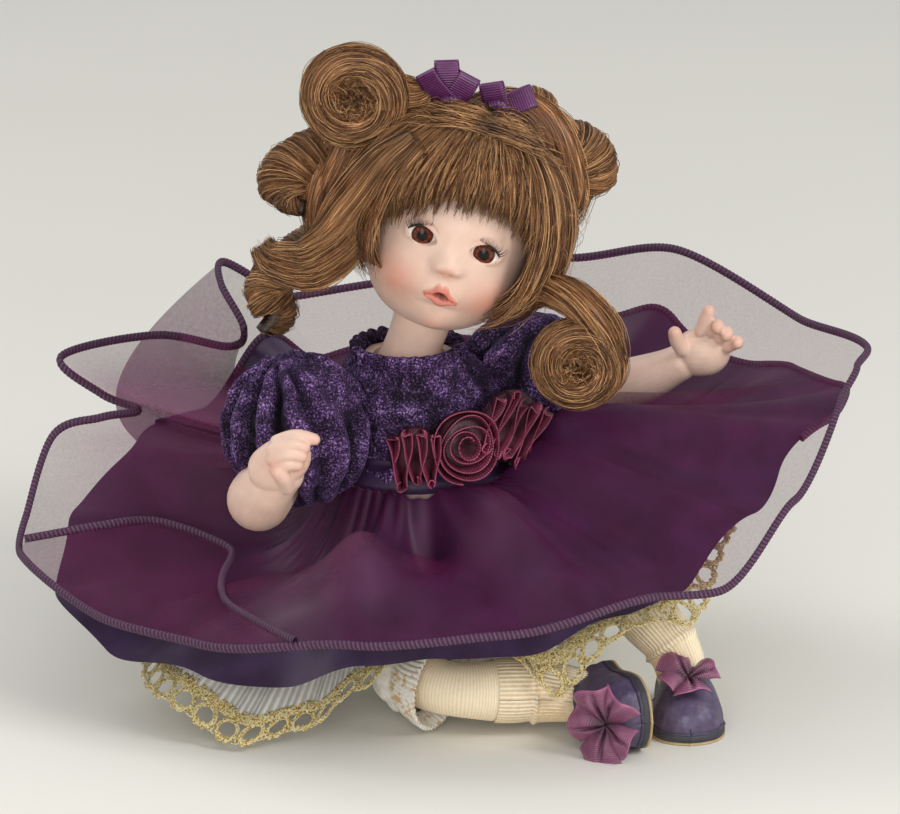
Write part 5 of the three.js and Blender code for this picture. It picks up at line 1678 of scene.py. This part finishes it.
def make_seat():
    share, bearing = net(np.linspace(0, 1, 80), full_turn(220))
    z = mix(0.2, 32, np.clip((share - 0.25) / 0.75, 0, 1))
    spread = ease(share / 0.25)
    full = round_torso(bearing, np.maximum(z, 2.5), 1.5)
    full[..., 2] = z
    gathers = 0.7 * np.cos(26 * bearing + 3 * noise(full, 9, 2)) * share
    full = full + unit(full * [1, 1, 0]) * gathers[..., None]
    middle = np.array([-TORSO_LEAN * 1.3, 0, 0.2])
    points = mix(middle, full, spread[..., None])
    shape = Shape().surface(points, linear(240, 236, 226), round_columns=True)
    shape.piece("cotton_seat", COTTON, "torso", "cotton", "pantaloon_seat")


SHOE_TOE = -18.2
SHOE_HEEL = 7.9
# Place along the shoe, then its half width or its height above the sole
SHOE_WIDTH = [
    [SHOE_TOE, 0.02], [-17.4, 3], [-15.4, 5.5], [-11.5, 6.9], [-6.5, 6.4], [-1, 5.3], [3.4, 5.6],
    [6.6, 4.2], [SHOE_HEEL, 0.02],
]
SHOE_HEIGHT = [
    [SHOE_TOE, 1.2], [-17.2, 3.6], [-14.5, 6.2], [-10, 8.2], [-6, 9], [0, 9.4], [5, 9], [7.2, 8.2],
    [SHOE_HEEL, 6.5],
]


def shoe_section(y, angle):
    wide = np.interp(y, *np.array(SHOE_WIDTH).T)
    tall = np.interp(y, *np.array(SHOE_HEIGHT).T)
    return xyz(wide * np.cos(angle) ** 0.75, y, SOLE_THICKNESS + tall * np.sin(angle) ** 0.85)


def make_shoe(side):
    purple = linear(84, 72, 98)
    rows, columns = 120, 60
    seam = columns // 2
    y = np.linspace(SHOE_TOE, SHOE_HEEL, rows)
    opening = ease((y + 5.4) / 3) * ease((8.4 - y) / 2.4)
    rim = np.pi / 2 * (1 - 0.36 * opening)
    half = shoe_section(y[:, None], rim[:, None] * np.linspace(0, 1, seam))
    other = half[:, ::-1] * [-1, 1, 1]
    points = np.concatenate([half, other], 1)
    faces = grid(rows, columns)
    faces = faces[faces[:, 0] % columns != seam - 1]
    closed = np.nonzero(opening == 0)[0] * columns + seam
    joined = np.arange(rows * columns)
    joined[closed] = closed - 1
    scuffs = 1 + 0.35 * (noise(points, 1.6, 12) > 0.62)
    shape = Shape().add(shoe_place(side, points), joined[faces], scuffs[..., None] * purple)
    lip = np.concatenate([half[opening > 0][:, -1], other[opening > 0][::-1, 0]])
    shape.tubes(shoe_place(side, lip)[None], 0.42, 8, 0.7 * purple)
    welt = np.concatenate([half[:, 0], other[::-1, -1], half[:1, 0]]) * [1.02, 1, 1]
    shape.tubes(shoe_place(side, welt)[None], 0.3, 6, 0.6 * purple)
    shape.piece(f"leather_shoe_{side}", LEATHER, f"leg_{side}", "shoe", f"shoe_{side}", thick=0.4)


def make_sole(side):
    outline = np.array([[w, y] for y, w in SHOE_WIDTH] + [[-w, y] for y, w in reversed(SHOE_WIDTH)])
    round_count = 160
    ring = curve(outline * [1.06, 1.02], round_count, closed=True)
    levels = [
        (0, 0.0), (0.9, 0.0), (1, 0.12), (1, 0.42), (0.985, 0.5), (0.985, 0.6), (1.0, 0.75), (1.0, 2.0),
        (0.97, 2.25), (0, 2.3),
    ]
    points = np.stack([xyz(*(ring * k).T, z) for k, z in levels])
    tan, dark = linear(186, 160, 118), linear(58, 58, 64)
    tint = np.stack([np.broadcast_to(tan if z < 0.55 else dark, (round_count, 3)) for _, z in levels])
    shape = Shape().surface(shoe_place(side, points), tint, round_columns=True)
    shape.piece(f"shoe_sole_{side}", SOLE, f"leg_{side}", "sole", f"sole_{side}")


def make_shoe_bow(side):
    """Crumpled satin bow: folded petals drawn together at the middle, painted darker towards the middle and
    in the creases as painted shade, and paler at the rims as painted highlight.
    """
    tilt = LEGS[side]["bow_tilt"]
    lean = math.radians(tilt)
    slope = math.atan(math.tan(lean) * TOE_LENGTH / TOE_HEIGHT)
    seat = np.array([
        0,
        -6.4 - TOE_LENGTH * math.sin(slope) - 1.2 * math.sin(lean),
        2.5 + TOE_HEIGHT * math.cos(slope) + 1.2 * math.cos(lean),
    ])
    shape = Shape()
    s, t = net(np.linspace(0, 1, 26), np.linspace(-1, 1, 25))
    for i, long in enumerate(LEGS[side]["petals"]):
        turn = 2 * np.pi * (i + 0.12 * chance.normal()) / len(LEGS[side]["petals"]) + 0.5
        half = 0.62 * long * (0.16 + 0.84 * s ** 0.75)
        u = 0.3 + long * s * (1 - 0.1 * t ** 2 + 0.08 * np.sin(3 * t + i))
        v = half * t
        arch = 2.6 * np.sin(np.pi * (0.08 + 0.62 * s)) * (1 - 0.75 * t ** 2)
        pinch = mound(t - chance.uniform(-0.4, 0.4), 0.16)
        crease = 1.5 * pinch * np.sin(np.pi * np.clip(s, 0.02, 1) ** 0.7)
        z = arch - crease + 0.6 * noise(xyz(u + 9 * i, v, 0), 2, 8)
        c, d = math.cos(turn), math.sin(turn)
        petal = xyz(c * u - d * v, d * u + c * v, z) @ spin("x", tilt).T
        weave = xyz(long * s * 1.15, v, 0)
        # Painted shade towards the middle and in the creases, painted highlight along the outer rim.
        painted_light_and_shade = mix(0.25, 1.0, ease(s / 0.6)) * (1 + 0.6 * mound(s - 1, 0.08)) * (1 - 0.6 * crease / 1.5)
        shape.surface(shoe_place(side, seat + petal), painted_light_and_shade[..., None] * np.ones(3), weave)
    shape.piece(f"satin_bow_{side}", BOW_SATIN, f"leg_{side}", "bow_satin", f"shoe_bow_{side}", thick=0.2)


# Setting: a pale floor, soft studio light and the camera at the photograph's angle

CAMERA_AZIMUTH = -25
CAMERA_ELEVATION = 18
CAMERA_TARGET = np.array([0.54, -0.25, 55])
CAMERA_DISTANCE = 3000
VIEW_WIDTH = 180
SENSOR_WIDTH = 36
SKY_COLOUR = (0.95, 0.97, 1, 1)
SKY_STRENGTH = 0.58
# Metres and watts
FLOOR_HALF = 6
LAMP_TARGET = (0, 0, 0.06)
LAMPS = {
    "key": {"place": (0.5, -0.95, 0.85), "size": 0.5, "power": 7.2},
    "fill": {"place": (-0.6, -1.0, 0.4), "size": 0.7, "power": 4.5},
    "rim": {"place": (-0.5, 0.8, 0.9), "size": 0.6, "power": 4},
}


def aim(made, target):
    """Turns a lamp or camera to look at a point, with its top upwards."""
    back = unit(np.array(made.location) - np.array(target, float))
    level = unit(np.cross([0, 0, 1.0], back))
    rise = np.cross(back, level)
    made.rotation_euler = Matrix(np.stack([level, rise, back], 1).tolist()).to_euler()


def make_floor():
    paper = Finish("pale paper", Roughness=0.9, Specular_IOR_Level=0.2)
    depth = paper.node("SeparateXYZ", {"Vector": paper.place}).outputs["Y"]
    # The paper is painted darker further back, as painted shade, under a slow random mottle.
    shade_far_back = paper.sum("MULTIPLY_ADD", depth, 0.9, 0.3)
    shade_far_back = paper.sum("MULTIPLY_ADD", paper.grain(90, 2), 0.08, shade_far_back)
    paper.colour(paper.ramp(shade_far_back, (0.1, linear(246, 243, 232)), (0.9, linear(206, 203, 195))))
    data = bpy.data.meshes.new("floor")
    corners = [(x * FLOOR_HALF, y * FLOOR_HALF, 0) for x, y in ((-1, -1), (1, -1), (1, 1), (-1, 1))]
    data.from_pydata(corners, [], [(0, 1, 2, 3)])
    data.materials.append(paper.material)
    floor = bpy.data.objects.new("floor", data)
    bpy.context.scene.collection.objects.link(floor)


def make_light():
    scene = bpy.context.scene
    world = bpy.data.worlds.new("studio")
    world.use_nodes = True
    sky = world.node_tree.nodes["Background"]
    sky.inputs["Color"].default_value = SKY_COLOUR
    sky.inputs["Strength"].default_value = SKY_STRENGTH
    scene.world = world

    for name, own in LAMPS.items():
        lamp = bpy.data.lights.new(name, "AREA")
        lamp.shape = "DISK"
        lamp.size = own["size"]
        lamp.energy = own["power"]
        made = bpy.data.objects.new(name, lamp)
        made.location = own["place"]
        aim(made, LAMP_TARGET)
        scene.collection.objects.link(made)


def make_camera():
    scene = bpy.context.scene
    lens = bpy.data.cameras.new("camera")
    lens.sensor_width = SENSOR_WIDTH
    lens.lens = SENSOR_WIDTH * CAMERA_DISTANCE / VIEW_WIDTH
    lens.clip_end = 50
    camera = bpy.data.objects.new("camera", lens)
    a, e = math.radians(CAMERA_AZIMUTH), math.radians(CAMERA_ELEVATION)
    away = np.array([math.sin(a) * math.cos(e), -math.cos(a) * math.cos(e), math.sin(e)])
    camera.location = (CAMERA_TARGET + CAMERA_DISTANCE * away) * MM
    aim(camera, CAMERA_TARGET * MM)
    scene.collection.objects.link(camera)
    scene.camera = camera
    scene.view_settings.view_transform = "Standard"


make_head()
for eye_side in SIDES:
    make_eye(eye_side)
make_lashes()
make_wig_cap()
make_fringe()
make_cheek_lock()
make_bun()
make_ringlets()
make_coil()
make_flyaways()
make_hair_bow("right", -8, 1, [(-52, 8.6, 70), (-22, 9.6, 84), (14, 7.6, 100)])
make_hair_bow("left", 1.4, 4, [(-30, 6, 80), (48, 8, 60), (80, 8, 50)])
for arm_side in SIDES:
    make_arm(arm_side)
make_bodice()
make_placket()
make_sash()
make_sleeve("right", (-34.2, -2.2, 55.8), (13.8, 15.0, 15.8), (-0.2, 0.1, 1), 12, 20)
make_sleeve("left", (20.5, 3, 57), (16, 14, 14), (0.5, 0.1, 1), 10, 30)
make_rose("rose_right", -117, -114, 51.2, 1.08 * ROSE_RADIUS, folded_route(3.5, 0.06, 0.8))
make_rose("rose_middle", -80, -96, 52.8, 1.12 * ROSE_RADIUS, spiral_route, 1.0)
make_rose("rose_left", -48, -82, 54.6, 1.18 * ROSE_RADIUS, folded_route(5, -0.5, 1.05), 3.4)
make_overskirt()
make_underskirt()
make_petticoat()
make_seat()
for leg_side in SIDES:
    make_leg(leg_side)
    make_sock(leg_side)
    make_pantaloon(leg_side)
    make_shoe(leg_side)
    make_sole(leg_side)
    make_shoe_bow(leg_side)
make_floor()
make_light()
make_camera()
